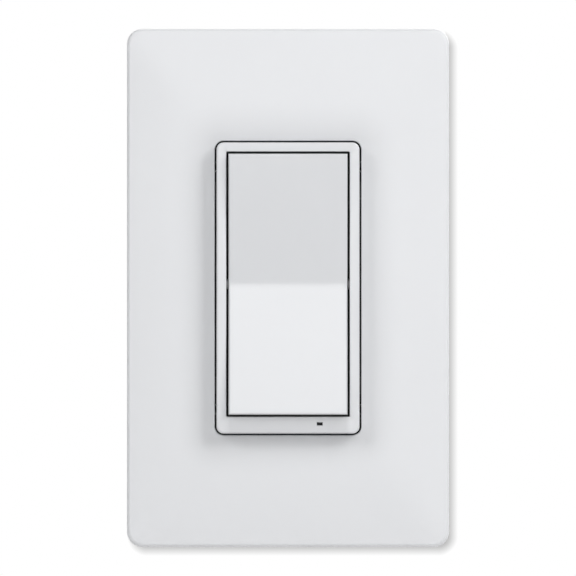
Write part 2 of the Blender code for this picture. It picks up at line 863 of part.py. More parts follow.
def cover_plate():
    """Snap-on plate, with hooks inside its rim and a notch below to lift it off by."""
    piece = place("cover_plate", loft_mesh("cover_plate", cover_plate_rings(), True), plate_white())
    hook_top = subplate_back - SEAT_GAP
    hook_low = hook_top - HOOK_HEIGHT
    root = PLATE_WALL / 2
    wedge = [(-root, hook_low), (HOOK_REACH, hook_top), (-root, hook_top)]
    inner_side = plate_half_width - PLATE_WALL
    inner_end = plate_half_height - PLATE_WALL
    spots = [
        ("right_top", 90.0, (inner_side, HOOK_SIDE_UP)),
        ("right_bottom", 90.0, (inner_side, -HOOK_SIDE_UP)),
        ("left_top", -90.0, (-inner_side, HOOK_SIDE_UP)),
        ("left_bottom", -90.0, (-inner_side, -HOOK_SIDE_UP)),
        ("top", 180.0, (0.0, inner_end)),
        ("bottom", 0.0, (0.0, -inner_end)),
    ]
    for spot, turned_by, (across, up) in spots:
        mesh = profile_mesh("plate_hook_" + spot, wedge, HOOK_LENGTH)
        rotation = (0.0, 0.0, math.radians(turned_by))
        join(piece, helper("plate_hook_" + spot, mesh, (across, up, 0.0), rotation))
    notch_size = (PRY_NOTCH_WIDTH, 4 * PLATE_WALL, 2 * PRY_NOTCH_DEPTH)
    cut(piece, block("pry_notch", (PRY_NOTCH_SIDE, -plate_half_height, 0.0), notch_size))


def mounting_subplate():
    """Flat plate with a skirt that stands on the wall."""
    half_width = plate_half_width - PLATE_WALL - SEAT_GAP
    half_height = plate_half_height - PLATE_WALL - SEAT_GAP
    corner = PLATE_CORNER - PLATE_WALL
    opening = (
        frame_half_width + SUBPLATE_OPENING_GAP,
        frame_half_height + SUBPLATE_OPENING_GAP,
        FRAME_CORNER + SUBPLATE_OPENING_GAP,
    )
    skirt_outer = SUBPLATE_SKIRT_INSET
    skirt_inner = SUBPLATE_SKIRT_INSET + SUBPLATE_SKIRT_WALL
    skirt_corner = corner / 2
    rings = [
        ring(*opening, subplate_front),
        ring(half_width, half_height, corner, subplate_front),
        ring(half_width, half_height, corner, subplate_back),
        ring(half_width - skirt_outer, half_height - skirt_outer, skirt_corner, subplate_back),
        ring(half_width - skirt_outer, half_height - skirt_outer, skirt_corner, SEAT_GAP),
        ring(half_width - skirt_inner, half_height - skirt_inner, skirt_corner, SEAT_GAP),
        ring(half_width - skirt_inner, half_height - skirt_inner, skirt_corner, subplate_back),
        ring(*opening, subplate_back),
    ]
    mesh = loft_mesh("mounting_subplate", rings, True)
    piece = place("mounting_subplate", mesh, subplate_white())
    add_subplate_ribs(piece, half_width - skirt_inner, half_height - skirt_inner)
    middle = (subplate_front + subplate_back) / 2
    head_hole = rod_mesh(
        "head_hole", MOUNT_HEAD_RADIUS + THREAD_GAP, 2 * SUBPLATE_THICKNESS, HEAD_STEPS
    )
    # One turned cutter makes the sunk seat, as steep as the head's cone, and the hole below it
    hole_radius = PLATE_SCREW_RADIUS + THREAD_GAP
    past = 2 * SUBPLATE_THICKNESS
    sink = [
        (0.0, past),
        (PLATE_HEAD_RADIUS + THREAD_GAP + past, past),
        (hole_radius, hole_radius - PLATE_HEAD_RADIUS - THREAD_GAP),
        (hole_radius, -past),
        (0.0, -past),
    ]
    for side in (1, -1):
        where = (0.0, side * mount_screw_up, middle)
        cut(piece, helper(f"head_hole_{side}", head_hole, where))
        screw_where = (0.0, side * plate_screw_up, subplate_front)
        sink_cutter = helper(f"screw_sink_{side}", turned_mesh("screw_sink", sink), screw_where)
        turn(sink_cutter, HEAD_STEPS)
        cut(piece, sink_cutter)


def add_subplate_ribs(piece, inner_side, inner_end):
    """Ribs behind the subplate, from its skirt to just short of the strap and of the strap's ears."""
    root = SUBPLATE_THICKNESS / 4
    depth = subplate_back - SEAT_GAP + root
    out = SEAT_GAP + depth / 2
    start = strap_half_width + SUBPLATE_RIB_GAP
    end = inner_side + root
    pitch = 2 * strap_main_half_height / (SUBPLATE_SIDE_RIBS + 1)
    for side in (1, -1):
        middle = side * (start + end) / 2
        for number in range(SUBPLATE_SIDE_RIBS):
            up = (number + 1) * pitch - strap_main_half_height
            size = (end - start, SUBPLATE_RIB_WALL, depth)
            join(piece, block(f"side_rib_{side}_{number}", (middle, up, out), size))
        ear_side = side * (EAR_HALF_WIDTH + SUBPLATE_RIB_GAP + SUBPLATE_RIB_WALL / 2)
        low = strap_main_half_height + SUBPLATE_RIB_GAP + EAR_SHOULDER
        high = inner_end + root
        for up in (1, -1):
            size = (SUBPLATE_RIB_WALL, high - low, depth)
            where = (ear_side, up * (low + high) / 2, out)
            join(piece, block(f"end_rib_{side}_{up}", where, size))


# Strap


def strap_outline():
    """The main plate with an ear at each end, mirrored from its upper right quarter."""
    steps = STRAP_CORNER_STEPS
    corner = (strap_half_width - STRAP_CORNER, strap_main_half_height - STRAP_CORNER)
    shoulder = (EAR_HALF_WIDTH + EAR_SHOULDER, strap_main_half_height + EAR_SHOULDER)
    ear_corner = (EAR_HALF_WIDTH - STRAP_CORNER, strap_half_height - STRAP_CORNER)
    quarter = arc(corner, STRAP_CORNER, 0.0, 90.0, steps)
    quarter.extend(arc(shoulder, EAR_SHOULDER, 270.0, 180.0, steps))
    quarter.extend(arc(ear_corner, STRAP_CORNER, 0.0, 90.0, steps))
    left = [(-x, y) for x, y in reversed(quarter)]
    upper = quarter + left
    return upper + [(-x, -y) for x, y in upper]


def strap_holes():
    holes = []
    slot_radius = MOUNT_SCREW_RADIUS + SEAT_GAP
    leg_hole_half = (LEG_THICKNESS + LEG_HOOK) / 2 + SEAT_GAP
    window_low = TAB_INSET - housing_half_height + STRAP_THICKNESS + BEND_RELIEF
    for up in (1, -1):
        holes.append(long_hole(slot_radius, MOUNT_SLOT_HALF, (0.0, up * mount_screw_up)))
        holes.append(circle(PLATE_SCREW_RADIUS + THREAD_GAP, (0.0, up * plate_screw_up)))
        for across in (1, -1):
            washer = (across * EAR_HOLE_SIDE, up * plate_screw_up)
            holes.append(circle(EAR_HOLE_RADIUS, washer, SMALL_HEAD_STEPS))
            below = (washer[0], washer[1] - up * EAR_SLIT_SPACE)
            holes.append(long_hole(EAR_SLIT_RADIUS, EAR_SLIT_HALF, below, STRAP_CORNER_STEPS))
            beside = (washer[1], washer[0] - across * EAR_SLIT_SPACE)
            slit = long_hole(EAR_SLIT_RADIUS, EAR_SLIT_HALF, beside, STRAP_CORNER_STEPS)
            holes.append(upright(slit))
            leg_hole_x = leg_side + LEG_HOOK / 2
            holes.append(
                rectangle(leg_hole_half, LEG_WIDTH / 2 + SEAT_GAP, (across * leg_hole_x, up * leg_up))
            )
            corner = (across * boss_side, up * boss_up)
            holes.append(circle(HOUSING_SCREW_RADIUS + THREAD_GAP, corner, SMALL_HEAD_STEPS))
    holes.append(header_hole())
    holes.append(circle(RIVET_RADIUS + THREAD_GAP, (0.0, rivet_up()), SMALL_HEAD_STEPS))
    holes.append(
        rectangle(TAB_HALF_WIDTH + SEAT_GAP, TAB_LENGTH / 2, (0.0, window_low + TAB_LENGTH / 2))
    )
    return holes


def strap():
    """Metal yoke that carries every other piece and takes the triac's heat."""
    mesh = outline_mesh("strap", [strap_outline(), *strap_holes()], STRAP_THICKNESS)
    piece = place("strap", mesh, strap_metal(), (0.0, 0.0, STRAP_THICKNESS / 2))
    tab_middle = TAB_INSET - housing_half_height + STRAP_THICKNESS / 2
    tab_depth = TAB_LENGTH + STRAP_THICKNESS / 2
    tab_size = (2 * TAB_HALF_WIDTH, STRAP_THICKNESS, tab_depth)
    tab_out = STRAP_THICKNESS / 2 - tab_depth / 2
    join(piece, block("earth_tab", (0.0, tab_middle, tab_out), tab_size))
    hole = rod_mesh(
        "earth_tab_hole", GROUND_SCREW_RADIUS + THREAD_GAP, 3 * STRAP_THICKNESS, SMALL_HEAD_STEPS
    )
    where = (0.0, tab_middle, -GROUND_SCREW_BEHIND)
    cut(piece, helper("earth_tab_hole", hole, where, ALONG_MINUS_Y))


def screw_retainers():
    """Fibre squares pushed onto the mounting screws behind the ears."""
    half = RETAINER_SIZE / 2
    outlines = [rectangle(half, half), circle(MOUNT_SCREW_RADIUS + THREAD_GAP, steps=SMALL_HEAD_STEPS)]
    for place_name, side in (("top", 1), ("bottom", -1)):
        name = "screw_retainer_" + place_name
        mesh = outline_mesh(name, outlines, RETAINER_THICKNESS)
        out = -SEAT_GAP - RETAINER_THICKNESS / 2
        place(name, mesh, fibre(), (0.0, side * mount_screw_up, out))


# Raised frame, paddle and what they work on


def front_frame():
    """Bezel around the paddle. Its hooked legs pass through the strap."""
    edge_steps = 3
    outer = (frame_half_width, frame_half_height)
    rings = [ring(*outer, FRAME_CORNER, frame_back)]
    for step in range(edge_steps + 1):
        angle = math.radians(90.0 * step / edge_steps)
        inset = FRAME_EDGE * (1 - math.cos(angle))
        out = frame_front - FRAME_EDGE * (1 - math.sin(angle))
        rings.append(ring(outer[0] - inset, outer[1] - inset, FRAME_CORNER - inset, out))
    window = (window_half_width, window_half_height)
    lip = (window[0] + WINDOW_EDGE, window[1] + WINDOW_EDGE)
    rings.append(ring(*lip, WINDOW_CORNER + WINDOW_EDGE, frame_front, paddle_up))
    rings.append(ring(*window, WINDOW_CORNER, frame_front - WINDOW_EDGE, paddle_up))
    rings.append(ring(*window, WINDOW_CORNER, frame_back, paddle_up))
    piece = place("front_frame", loft_mesh("front_frame", rings, True), frame_white())
    cut_lamp_pocket(piece)
    cut_bearings(piece)
    add_legs(piece)


def cut_lamp_pocket(piece):
    """Room for the indicator behind the bottom strip, and the slot that it shines through."""
    pocket_low = POCKET_WALL - frame_half_height
    pocket_high = paddle_up
    pocket_front = frame_front - STRIP_THICKNESS
    pocket_back = frame_back - SEAT_GAP
    centre = (0.0, (pocket_low + pocket_high) / 2, (pocket_front + pocket_back) / 2)
    size = (2 * window_half_width, pocket_high - pocket_low, pocket_front - pocket_back)
    cut(piece, block("lamp_pocket", centre, size))
    slot_size = (LENS_WIDTH + 2 * SOLDER_GAP, LENS_HEIGHT + 2 * SOLDER_GAP, 4 * STRIP_THICKNESS)
    slot_centre = (INDICATOR_SIDE, INDICATOR_UP - frame_half_height, frame_front)
    cut(piece, block("lamp_slot", slot_centre, slot_size))


def cut_bearings(piece):
    """Holes in the side walls that the paddle's trunnions turn in."""
    length = 3 * (frame_half_width - window_half_width)
    mesh = rod_mesh("bearing", TRUNNION_RADIUS + SEAT_GAP, length, HEAD_STEPS)
    for side in (1, -1):
        where = (side * (frame_half_width + window_half_width) / 2, paddle_up, pivot_out)
        cut(piece, helper(f"bearing_{side}", mesh, where, ALONG_X))


def add_legs(piece):
    """Four legs whose hooks catch behind the strap."""
    catch = -SEAT_GAP
    tip = catch - LEG_HOOK_DEPTH
    half = LEG_THICKNESS / 2
    profile = [
        (-half, frame_back + LEG_EMBED),
        (-half, tip),
        (half, tip),
        (half + LEG_HOOK, catch - LEG_HOOK_DEPTH / 2),
        (half + LEG_HOOK, catch),
        (half, catch),
        (half, frame_back + LEG_EMBED),
    ]
    for across in (1, -1):
        outline = [(across * x, out) for x, out in profile]
        for up in (1, -1):
            name = f"leg_{across}_{up}"
            mesh = outline_mesh(name, [outline], LEG_WIDTH)
            where = (across * leg_side, up * leg_up, 0.0)
            join(piece, helper(name, mesh, where, (math.pi / 2, 0.0, 0.0)))


def paddle_underside(up):
    """Height of the paddle's underside above the pivot, at a distance from the pivot."""
    share = abs(up) / (PADDLE_HEIGHT / 2)
    return paddle_middle_out + PADDLE_DISH * share - PADDLE_WALL - pivot_out


def paddle():
    """The rocker, built about its pivot: a shallow V with a skirt, trunnions, pushers and posts."""
    half = PADDLE_HEIGHT / 2
    end_front = paddle_end_out - pivot_out
    middle_front = paddle_middle_out - pivot_out
    skirt_end = board_front + PADDLE_TRAVEL + PADDLE_FLOOR_GAP - pivot_out
    skirt_middle = -TRUNNION_RADIUS - TRUNNION_LUG
    body = [
        (half, end_front),
        (0.0, middle_front),
        (-half, end_front),
        (-half, skirt_end),
        (-TRUNNION_LUG_HALF, skirt_middle),
        (TRUNNION_LUG_HALF, skirt_middle),
        (half, skirt_end),
    ]
    pivot = (0.0, paddle_up, pivot_out)
    piece = place("paddle", profile_mesh("paddle", body, PADDLE_WIDTH), paddle_white(), pivot)
    round_edges(piece, PADDLE_EDGE, 2)
    inner = half - PADDLE_WALL
    floor = 2 * skirt_middle
    hollow = [
        (inner, paddle_underside(inner)),
        (0.0, paddle_underside(0.0)),
        (-inner, paddle_underside(inner)),
        (-inner, floor),
        (inner, floor),
    ]
    inner_width = PADDLE_WIDTH - 2 * PADDLE_WALL
    cut(piece, helper("paddle_hollow", profile_mesh("paddle_hollow", hollow, inner_width), pivot))
    add_trunnions(piece, pivot)
    add_paddle_ribs(piece, pivot, inner)
    add_paddle_pins(piece)


def add_trunnions(piece, pivot):
    length = TRUNNION_LENGTH + PADDLE_WALL
    mesh = rod_mesh("trunnion", TRUNNION_RADIUS, length, HEAD_STEPS)
    for side in (1, -1):
        across = side * (PADDLE_WIDTH / 2 + TRUNNION_LENGTH - length / 2)
        join(piece, helper(f"trunnion_{side}", mesh, (across, pivot[1], pivot[2]), ALONG_X))


def add_paddle_ribs(piece, pivot, inner):
    """Two ribs that stiffen the face from end to end."""
    root = PADDLE_WALL / 3
    low = paddle_underside(0.0) - PADDLE_RIB_DROP
    rib = [
        (inner + root, paddle_underside(inner) + root),
        (0.0, paddle_underside(0.0) + root),
        (-inner - root, paddle_underside(inner) + root),
        (-inner - root, low),
        (inner + root, low),
    ]
    for side in (1, -1):
        name = f"paddle_rib_{side}"
        mesh = profile_mesh(name, rib, PADDLE_RIB_WALL)
        join(piece, helper(name, mesh, (side * PADDLE_RIB_SIDE, pivot[1], pivot[2])))


def add_paddle_pins(piece):
    """Pushers over the buttons, and posts that hold the return springs."""
    root = PADDLE_WALL / 2
    for side in (1, -1):
        top = pivot_out + paddle_underside(BUTTON_REACH) + root
        low = button_tip + SEAT_GAP
        mesh = rod_mesh("pusher", PUSHER_RADIUS, top - low, SMALL_HEAD_STEPS)
        where = (0.0, paddle_up + side * BUTTON_REACH, (top + low) / 2)
        join(piece, helper(f"pusher_{side}", mesh, where))
        top = pivot_out + paddle_underside(spring_reach) + root
        low = top - root - SPRING_POST_LENGTH
        mesh = rod_mesh("spring_post", SPRING_POST_RADIUS, top - low, SMALL_HEAD_STEPS)
        where = (0.0, paddle_up + side * spring_reach, (top + low) / 2)
        join(piece, helper(f"spring_post_{side}", mesh, where))


def return_springs():
    """Light coil springs that centre the paddle between its two presses."""
    low = board_front + SEAT_GAP + SPRING_WIRE
    high = pivot_out + paddle_underside(spring_reach) - SEAT_GAP - SPRING_WIRE
    count = SPRING_TURNS * SPRING_STEPS
    for place_name, side in (("top", 1), ("bottom", -1)):
        name = "return_spring_" + place_name
        curve = bpy.data.curves.new(name, "CURVE")
        curve.dimensions = "3D"
        curve.bevel_depth = SPRING_WIRE
        curve.bevel_resolution = 2
        curve.use_fill_caps = True
        spline = curve.splines.new("POLY")
        spline.points.add(count)
        for step, point in enumerate(spline.points):
            angle = 2 * math.pi * step / SPRING_STEPS
            x = SPRING_RADIUS * math.cos(angle)
            y = SPRING_RADIUS * math.sin(angle)
            point.co = (x, y, mix(low, high, step / count), 1.0)
        place(name, curve, spring_steel(), (0.0, paddle_up + side * spring_reach, 0.0))


def header_hole():
    half_width = (HEADER_PINS * PIN_PITCH) / 2 + HEADER_HOLE_MARGIN
    half_height = HEADER_STRIP_HEIGHT / 2 + HEADER_HOLE_MARGIN
    return rectangle(half_width, half_height, (0.0, header_up))


def pin_slot(pitch, count, size, up):
    """A slot in a board for a row of pins, with a little room around them."""
    half_width = ((count - 1) * pitch + size) / 2 + SEAT_GAP
    return rectangle(half_width, size / 2 + SEAT_GAP, (0.0, up))


def insulator_sheet():
    half_width = window_half_width - SEAT_GAP
    half_height = window_half_height - SEAT_GAP
    outline = moved(rounded_rectangle(half_width, half_height, STRAP_CORNER, 3), 0.0, paddle_up)
    mesh = outline_mesh("insulator_sheet", [outline, header_hole()], SHEET_THICKNESS)
    out = sheet_back + SHEET_THICKNESS / 2
    place("insulator_sheet", mesh, insulating_film(), (0.0, 0.0, out))


def control_board():
    """Board behind the paddle. It reaches into the frame's lamp pocket."""
    half_width = window_half_width - SEAT_GAP
    top = paddle_up + window_half_height - SEAT_GAP
    low = POCKET_WALL + SEAT_GAP - frame_half_height
    outline = rounded_rectangle(half_width, (top - low) / 2, STRAP_CORNER / 2, 3)
    outline = moved(outline, 0.0, (top + low) / 2)
    pins = pin_slot(PIN_PITCH, HEADER_PINS, PIN_SIZE, header_up)
    mesh = outline_mesh("control_board", [outline, pins], BOARD_THICKNESS)
    out = board_back + BOARD_THICKNESS / 2
    place("control_board", mesh, board_green(), (0.0, 0.0, out))


def tact_switches():
    """Low push switches with an open well, each with its round button in a node of its own."""
    for place_name, side in (("top", 1), ("bottom", -1)):
        up = paddle_up + side * BUTTON_REACH
        name = "tact_switch_" + place_name
        mesh = block_mesh(name, TACT_SIZE, TACT_SIZE, TACT_HEIGHT)
        where = (0.0, up, soldered_back + TACT_HEIGHT / 2)
        piece = place(name, mesh, dark_plastic(), where)
        round_edges(piece, TACT_EDGE)
        well = rod_mesh(name + "_well", BUTTON_RADIUS + SEAT_GAP, 2 * TACT_WELL_DEPTH, HEAD_STEPS)
        cut(piece, helper(name + "_well", well, (0.0, up, tact_front)))


def buttons():
    low = tact_front - TACT_WELL_DEPTH + BUTTON_FLOOR_GAP
    profile = [
        (0.0, button_tip),
        (BUTTON_RADIUS - BUTTON_DOME, button_tip),
        (BUTTON_RADIUS, button_tip - BUTTON_DOME),
        (BUTTON_RADIUS, low),
        (0.0, low),
    ]
    for place_name, side in (("top", 1), ("bottom", -1)):
        name = "button_" + place_name
        where = (0.0, paddle_up + side * BUTTON_REACH, 0.0)
        turn(place(name, turned_mesh(name, profile), dark_plastic(), where), HEAD_STEPS)


def indicator():
    """Small lamp on the board and the light pipe that carries its light to the slot."""
    up = INDICATOR_UP - frame_half_height
    led_mesh = block_mesh("indicator_led", LED_WIDTH, LED_HEIGHT, LED_DEPTH)
    led_where = (INDICATOR_SIDE, up, soldered_back + LED_DEPTH / 2)
    place("indicator_led", led_mesh, lamp_clear(), led_where)
    foot_back = soldered_back + LED_DEPTH + SEAT_GAP
    lens_front = frame_front - LENS_RECESS
    lens_mesh = block_mesh("light_pipe", LENS_WIDTH, LENS_HEIGHT, lens_front - foot_back)
    lens_where = (INDICATOR_SIDE, up, (lens_front + foot_back) / 2)
    piece = place("light_pipe", lens_mesh, lens_dark(), lens_where)
    foot_size = (LENS_FOOT_WIDTH, LENS_FOOT_HEIGHT, LENS_FOOT_DEPTH)
    foot_where = (INDICATOR_SIDE, up, foot_back + LENS_FOOT_DEPTH / 2)
    join(piece, block("lens_foot", foot_where, foot_size))


def radio_module():
    """Small board with a metal can over its radio."""
    mesh = block_mesh("radio_module", RADIO_WIDTH, RADIO_HEIGHT, RADIO_BASE)
    piece = place(
        "radio_module", mesh, strap_metal(), (0.0, paddle_up, soldered_back + RADIO_BASE / 2)
    )
    can_size = (
        RADIO_WIDTH - 2 * RADIO_CAN_INSET,
        RADIO_HEIGHT - 2 * RADIO_CAN_INSET,
        RADIO_CAN_DEPTH + RADIO_BASE / 2,
    )
    can_out = soldered_back + RADIO_BASE + RADIO_CAN_DEPTH - can_size[2] / 2
    can = block("radio_can", (0.0, paddle_up, can_out), can_size)
    round_edges(can, RADIO_CAN_INSET / 2)
    join(piece, can)


# Rear housing and terminals


def housing_sections(inset, front, back, edge):
    """Tapering box. The outer one has a flange in front and an edge cut back at its rear."""
    half_width = housing_half_width - inset
    half_height = housing_half_height - inset
    corner = HOUSING_CORNER - inset * HOUSING_CORNER / (2 * HOUSING_WALL)
    rear_width = half_width - HOUSING_DRAFT
    rear_height = half_height - HOUSING_DRAFT
    sections = [ring(half_width, half_height, corner, front)]
    if edge:
        flange = (half_width + HOUSING_FLANGE_PROUD, half_height + HOUSING_FLANGE_PROUD, corner)
        flange_rear = front - HOUSING_FLANGE_DEPTH
        sections = [ring(*flange, front), ring(*flange, flange_rear)]
        sections.append(ring(half_width, half_height, corner, flange_rear))
        sections.append(ring(rear_width, rear_height, corner, back + edge))
    sections.append(ring(rear_width - edge, rear_height - edge, corner - edge / 2, back))
    return sections


def wells():
    """(name, side, middle height) of each of the four terminal wells."""
    return (
        ("line", -1, terminal_up),
        ("load", -1, -terminal_up),
        ("neutral", 1, terminal_up),
        ("traveler", 1, -terminal_up),
    )


def housing_hollow():
    """The inside of the housing, less the walls, bosses and posts that stand in it."""
    sections = housing_sections(
        HOUSING_WALL, housing_rim + HOUSING_WALL, housing_back + HOUSING_BACK, 0.0
    )
    hollow = helper("housing_hollow", loft_mesh("housing_hollow", sections, False))
    for name, side, up in wells():
        size = (
            2 * (WELL_INSET + INNER_WALL),
            WELL_HEIGHT + 2 * INNER_WALL,
            WELL_DEPTH + 2 * INNER_WALL,
        )
        cut(hollow, block("well_wall_" + name, (side * housing_half_width, up, well_middle), size))
    notch_walls = (
        2 * (TAB_HALF_WIDTH + NOTCH_MARGIN + INNER_WALL),
        2 * (NOTCH_HEIGHT + INNER_WALL),
        2 * (TAB_LENGTH + NOTCH_MARGIN + INNER_WALL),
    )
    cut(hollow, block("notch_wall", (0.0, -housing_half_height, housing_rim), notch_walls))
    boss = rod_mesh("boss", BOSS_RADIUS, 3 * HOUSING_DEPTH, HEAD_STEPS)
    post_length = 2 * (BOARD_STANDOFF - SEAT_GAP)
    post = rod_mesh("post", POST_RADIUS, post_length, SMALL_HEAD_STEPS)
    for across in (1, -1):
        for up in (1, -1):
            corner = (across * boss_side, up * boss_up, housing_back)
            cut(hollow, helper(f"boss_{across}_{up}", boss, corner))
            where = (
                across * POST_SIDE,
                up * (housing_half_height - POST_END_INSET),
                housing_back + HOUSING_BACK,
            )
            cut(hollow, helper(f"post_{across}_{up}", post, where))
    return hollow


def rear_housing():
    """Moulded box with four side wells for the terminals and a notch for the earth screw."""
    sections = housing_sections(0.0, housing_rim, housing_back, HOUSING_EDGE)
    piece = place("rear_housing", loft_mesh("rear_housing", sections, False), housing_grey())
    cut(piece, housing_hollow())
    for name, side, up in wells():
        well_size = (2 * WELL_INSET, WELL_HEIGHT, WELL_DEPTH)
        cut(piece, block("well_" + name, (side * housing_half_width, up, well_middle), well_size))
        slot_size = (
            TERMINAL_THICKNESS + 2 * SEAT_GAP,
            2 * (TERMINAL_TAIL_HALF + SEAT_GAP),
            2 * INNER_WALL + WELL_BOARD_GAP,
        )
        slot_where = (side * terminal_side(), up, well_rear - INNER_WALL / 2)
        cut(piece, block("tail_slot_" + name, slot_where, slot_size))
    notch_size = (
        2 * (TAB_HALF_WIDTH + NOTCH_MARGIN),
        2 * NOTCH_HEIGHT,
        2 * (TAB_LENGTH + NOTCH_MARGIN),
    )
    cut(piece, block("notch", (0.0, -housing_half_height, housing_rim), notch_size))
    bore = rod_mesh(
        "boss_bore", HOUSING_SCREW_RADIUS + SEAT_GAP, 3 * HOUSING_DEPTH, SMALL_HEAD_STEPS
    )
    counterbore = rod_mesh(
        "counterbore", HOUSING_HEAD_RADIUS + SEAT_GAP, 2 * COUNTERBORE_DEPTH, SMALL_HEAD_STEPS
    )
    for across in (1, -1):
        for up in (1, -1):
            corner = (across * boss_side, up * boss_up, housing_back)
            cut(piece, helper(f"boss_bore_{across}_{up}", bore, corner))
            cut(piece, helper(f"counterbore_{across}_{up}", counterbore, corner))
    cut_rear_marks(piece)


def cut_rear_marks(piece):
    """A shallow sunk field in the rear face, and the groove that shows how much wire to bare."""
    field_half_height = housing_half_height - REAR_FIELD_MARGIN - STRIP_GAUGE_WIDTH
    field = rounded_rectangle(
        housing_half_width - REAR_FIELD_MARGIN, field_half_height, REAR_FIELD_CORNER, 3
    )
    field_mesh = outline_mesh("rear_field", [field], 2 * REAR_FIELD_DEPTH)
    cut(piece, helper("rear_field", field_mesh, (0.0, STRIP_GAUGE_WIDTH, housing_back)))
    groove = long_hole(
        STRIP_GAUGE_WIDTH / 2, (STRIP_GAUGE_LENGTH - STRIP_GAUGE_WIDTH) / 2, (0.0, 0.0), 4
    )
    groove_mesh = outline_mesh("strip_gauge", [groove], 2 * STRIP_GAUGE_DEPTH)
    groove_up = STRIP_GAUGE_INSET - housing_half_height
    cut(piece, helper("strip_gauge", groove_mesh, (0.0, groove_up, housing_back)))


def head_side():
    """Where the terminal screws' heads sit, from the middle of the switch."""
    return housing_half_width - TERMINAL_HEAD_INSET - TERMINAL_HEAD_HEIGHT


def clamp_side():
    return head_side() - SEAT_GAP - CLAMP_THICKNESS / 2


def terminal_side():
    return clamp_side() - (CLAMP_THICKNESS + TERMINAL_THICKNESS) / 2 - TERMINAL_FACE_GAP


def terminals():
    """Screw, clamp plate and terminal plate in each well. The terminal's tail reaches the board."""
    hole = TERMINAL_SCREW_RADIUS + THREAD_GAP
    plate_front = well_front - 2 * SEAT_GAP
    plate_rear = well_rear + SEAT_GAP
    outline = [
        (TERMINAL_HALF_HEIGHT, plate_front),
        (-TERMINAL_HALF_HEIGHT, plate_front),
        (-TERMINAL_HALF_HEIGHT, plate_rear),
        (-TERMINAL_TAIL_HALF, plate_rear),
        (-TERMINAL_TAIL_HALF, tail_end),
        (TERMINAL_TAIL_HALF, tail_end),
        (TERMINAL_TAIL_HALF, plate_rear),
        (TERMINAL_HALF_HEIGHT, plate_rear),
    ]
    for name, side, up in wells():
        screw_hole = circle(hole, (0.0, well_middle), SMALL_HEAD_STEPS)
        mesh = outline_mesh("terminal_plate_" + name, [outline, screw_hole], TERMINAL_THICKNESS)
        mesh.transform(ACROSS)
        place("terminal_plate_" + name, mesh, brass(), (side * terminal_side(), up, 0.0))
        clamp_outlines = [
            rounded_rectangle(CLAMP_HALF, CLAMP_HALF, CLAMP_THICKNESS, 2),
            circle(TERMINAL_SCREW_RADIUS + SEAT_GAP, steps=SMALL_HEAD_STEPS),
        ]
        clamp = outline_mesh("clamp_plate_" + name, clamp_outlines, CLAMP_THICKNESS)
        clamp.transform(ACROSS)
        place("clamp_plate_" + name, clamp, brass(), (side * clamp_side(), up, well_middle))
        round_head_screw(
            "terminal_screw_" + name,
            brass() if side < 0 else screw_steel(),
            (side * head_side(), up, well_middle),
            ALONG_X if side > 0 else ALONG_MINUS_X,
            TERMINAL_HEAD_RADIUS,
            TERMINAL_HEAD_HEIGHT,
            TERMINAL_SCREW_RADIUS,
            TERMINAL_SCREW_LENGTH,
            SMALL_HEAD_STEPS,
        )


# Power board and its parts


def rivet_up():
    return film_top + TRIAC_BODY_HEIGHT - FILM_HEIGHT + TRIAC_TAB_HEIGHT / 2


def power_board():
    """Board across the housing, with its corners cut away around the bosses."""
    inset = HOUSING_WALL + HOUSING_DRAFT + BOARD_EDGE_GAP
    half_width = housing_half_width - inset
    half_height = housing_half_height - inset
    notch_x = boss_side - BOSS_RADIUS - SEAT_GAP
    notch_y = boss_up - BOSS_RADIUS - SEAT_GAP
    quarter = [(half_width, notch_y), (notch_x, notch_y), (notch_x, half_height)]
    upper = quarter + [(-x, y) for x, y in reversed(quarter)]
    outlines = [upper + [(-x, -y) for x, y in upper]]
    for _, side, up in wells():
        slot_half_width = TERMINAL_THICKNESS / 2 + SEAT_GAP
        slot_half_height = TERMINAL_TAIL_HALF + SEAT_GAP
        outlines.append(rectangle(slot_half_width, slot_half_height, (side * terminal_side(), up)))
    outlines.append(pin_slot(PIN_PITCH, HEADER_PINS, PIN_SIZE, header_up))
    outlines.append(pin_slot(TRIAC_LEAD_PITCH, 3, TRIAC_LEAD_WIDTH, lead_up))
    mesh = outline_mesh("power_board", outlines, POWER_BOARD_THICKNESS)
    middle = power_back + POWER_BOARD_THICKNESS / 2
    place("power_board", mesh, board_green(), (0.0, 0.0, middle))


def board_header():
    """Row of pins that joins the power board to the control board."""
    width = HEADER_PINS * PIN_PITCH
    mesh = block_mesh("board_header", width, HEADER_STRIP_HEIGHT, HEADER_STRIP_DEPTH)
    where = (0.0, header_up, power_seat + HEADER_STRIP_DEPTH / 2)
    piece = place("board_header", mesh, dark_plastic(), where)
    front = board_front + TAIL_PAST_BOARD
    length = front - tail_end
    for pin in range(HEADER_PINS):
        across = (pin - (HEADER_PINS - 1) / 2) * PIN_PITCH
        size = (PIN_SIZE, PIN_SIZE, length)
        join(piece, block(f"header_pin_{pin}", (across, header_up, front - length / 2), size))


